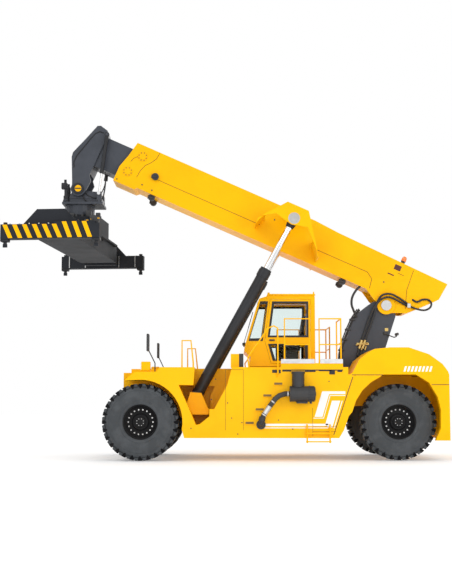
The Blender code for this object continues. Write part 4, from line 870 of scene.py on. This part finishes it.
for x in (-0.38, -0.30, 0.52, 0.60):
    add_rod(motor, (x, -0.44, -0.36), (x, -0.44, -0.31), 0.018, 6)
bmesh.ops.translate(motor, vec=hang, verts=motor.verts)
round_off(put(motor, "slew_motors", black, "hanging", "black_paint"))
lamp = bmesh.new()
add_rod(lamp, (-0.35, -1.9, hang.z - 1.16), (-0.35, -1.9, hang.z - 1.025), 0.03, 12)
add_box(lamp, (-0.43, -1.96, hang.z - 1.045), (-0.29, -1.84, hang.z - 0.925), 0.02)
round_off(put(on_spreader(lamp), "spreader_lamps", plastic, "spreader", "black_plastic"))

# Boom head: welded plate in dark blue-grey with a pressed groove on each cheek, drawn
# as a black bead of painted shade, the hang pin's painted end with its lock bar, and
# two hose loops under the neck.
hang_u, hang_v = 8.72, -0.45
head_face = 0.4205
groove = bmesh.new()
rings = bmesh.new()
faces = bmesh.new()
for sign in (-1, 1):
    line = [(9.06, 0.02), (9.13, 0.16), (9.13, 0.34), (9.06, 0.60), (8.98, 0.92), (8.92, 1.10),
            (8.84, 1.19), (8.74, 1.20)]
    for a, b in zip(line, line[1:]):
        turn_at = (b[0], sign * head_face, b[1])
        add_rod(groove, (a[0], sign * head_face, a[1]), turn_at, 0.016, 10)
        bmesh.ops.create_uvsphere(groove, u_segments=10, v_segments=6, radius=0.016,
                                  matrix=Matrix.Translation(turn_at))
    add_rod(rings, (hang_u, sign * 0.42, hang_v), (hang_u, sign * 0.448, hang_v), 0.15, 40)
    add_rod(faces, (hang_u, sign * 0.449, hang_v), (hang_u, sign * 0.4505, hang_v), 0.088, 40)
round_off(put(on_boom(groove), "head_groove_shade", black, "boom_head", "black_paint"))
round_off(put(on_boom(rings), "hang_pin_rings", black, "boom_head", "black_paint"))
put(on_boom(faces), "hang_pin_faces", yellow, "boom_head", "yellow_paint")
lock = bmesh.new()
for sign in (-1, 1):
    add_box(lock, (hang_u - 0.08, sign * 0.4515 - 0.004, hang_v - 0.015),
            (hang_u + 0.08, sign * 0.4515 + 0.004, hang_v + 0.015), 0.002)
bmesh.ops.rotate(lock, cent=(hang_u, 0, hang_v), matrix=Matrix.Rotation(radians(24), 3, "Y"),
                 verts=lock.verts)
put(on_boom(lock), "hang_pin_bars", plastic, "boom_head", "black_plastic")
for index, drop in enumerate((0.0, 0.16)):
    a = boom_frame @ Vector((8.28, -0.30 + 0.05 * index, 0.27))
    b = boom_frame @ Vector((8.62 + 0.06 * index, -0.318, -0.08))
    hose(f"head_hose_{index + 1}",
         [a, a + Vector((0.02, 0, -0.22)), a + Vector((-0.04, 0, -0.48 - drop)),
          (a + b) / 2 + Vector((0.02, 0, -0.62 - drop)), b + Vector((-0.04, 0, -0.42 - drop)),
          b + Vector((-0.02, 0, -0.16)), b], 0.014, "boom_head")

# Valve blocks on the left of the slewing carriage: black manifolds side by side,
# each with a round plug, and three small yellow tags.
blocks = bmesh.new()
tags = bmesh.new()
for x, z, wide, tall in ((0.52, -1.00, 0.16, 0.22), (0.36, -1.04, 0.12, 0.16),
                         (0.64, -1.06, 0.10, 0.26), (0.66, -0.82, 0.12, 0.10)):
    foot = hang.z + z
    add_box(blocks, (x - wide / 2, -0.75, foot), (x + wide / 2, -0.66, foot + tall), 0.012)
    add_rod(blocks, (x, -0.77, foot + tall / 2), (x, -0.75, foot + tall / 2), 0.03, 16)
for x, z in ((0.50, -0.90), (0.38, -0.93), (0.68, -0.88)):
    add_box(tags, (x - 0.03, -0.756, hang.z + z), (x + 0.03, -0.748, hang.z + z + 0.025), 0.002)
round_off(put(on_spreader(blocks), "valve_blocks", plastic, "slewing", "black_plastic"))
put(on_spreader(tags), "valve_tags", yellow, "slewing", "yellow_paint")

# Studio: a plain pale floor under a white sky, with soft disk lights all round.
floor = bpy.data.objects.new("floor", bpy.data.meshes.new("floor"))
ground = bmesh.new()
bmesh.ops.create_grid(ground, x_segments=1, y_segments=1, size=120)
ground.to_mesh(floor.data)
ground.free()
floor.location.z = -0.004
floor_paint = bpy.data.materials.new("floor_paint")
floor_paint.use_nodes = True
for socket, value in (("Base Color", (0.78, 0.78, 0.78, 1)), ("Roughness", 0.9),
                      ("Emission Color", (1, 1, 1, 1)), ("Emission Strength", 0.22)):
    floor_paint.node_tree.nodes["Principled BSDF"].inputs[socket].default_value = value
floor.data.materials.append(floor_paint)
bpy.context.scene.collection.objects.link(floor)

world = bpy.data.worlds.new("studio")
world.use_nodes = True
world.node_tree.nodes["Background"].inputs["Color"].default_value = (1, 1, 1, 1)
world.node_tree.nodes["Background"].inputs["Strength"].default_value = 1.0
bpy.context.scene.world = world
bpy.context.scene.view_settings.view_transform = "Standard"


def light(name, place, aim, size, power):
    """A round soft lamp turned to a point."""
    lamp = bpy.data.lights.new(name, "AREA")
    lamp.shape = "DISK"
    lamp.size = size
    lamp.energy = power
    thing = bpy.data.objects.new(name, lamp)
    thing.location = place
    thing.rotation_euler = (Vector(aim) - Vector(place)).to_track_quat("-Z", "Y").to_euler()
    thing.visible_camera = False
    bpy.context.scene.collection.objects.link(thing)


light("low fill", (0.5, -11, 1.3), (1, -2, 1.4), 7, 150)
light("key", (-12, -18, 18), (0, 0, 3), 9, 750)
light("fill", (14, -16, 7), (0, 0, 3), 10, 700)
light("rear", (3, 16, 14), (0, 0, 4), 9, 400)
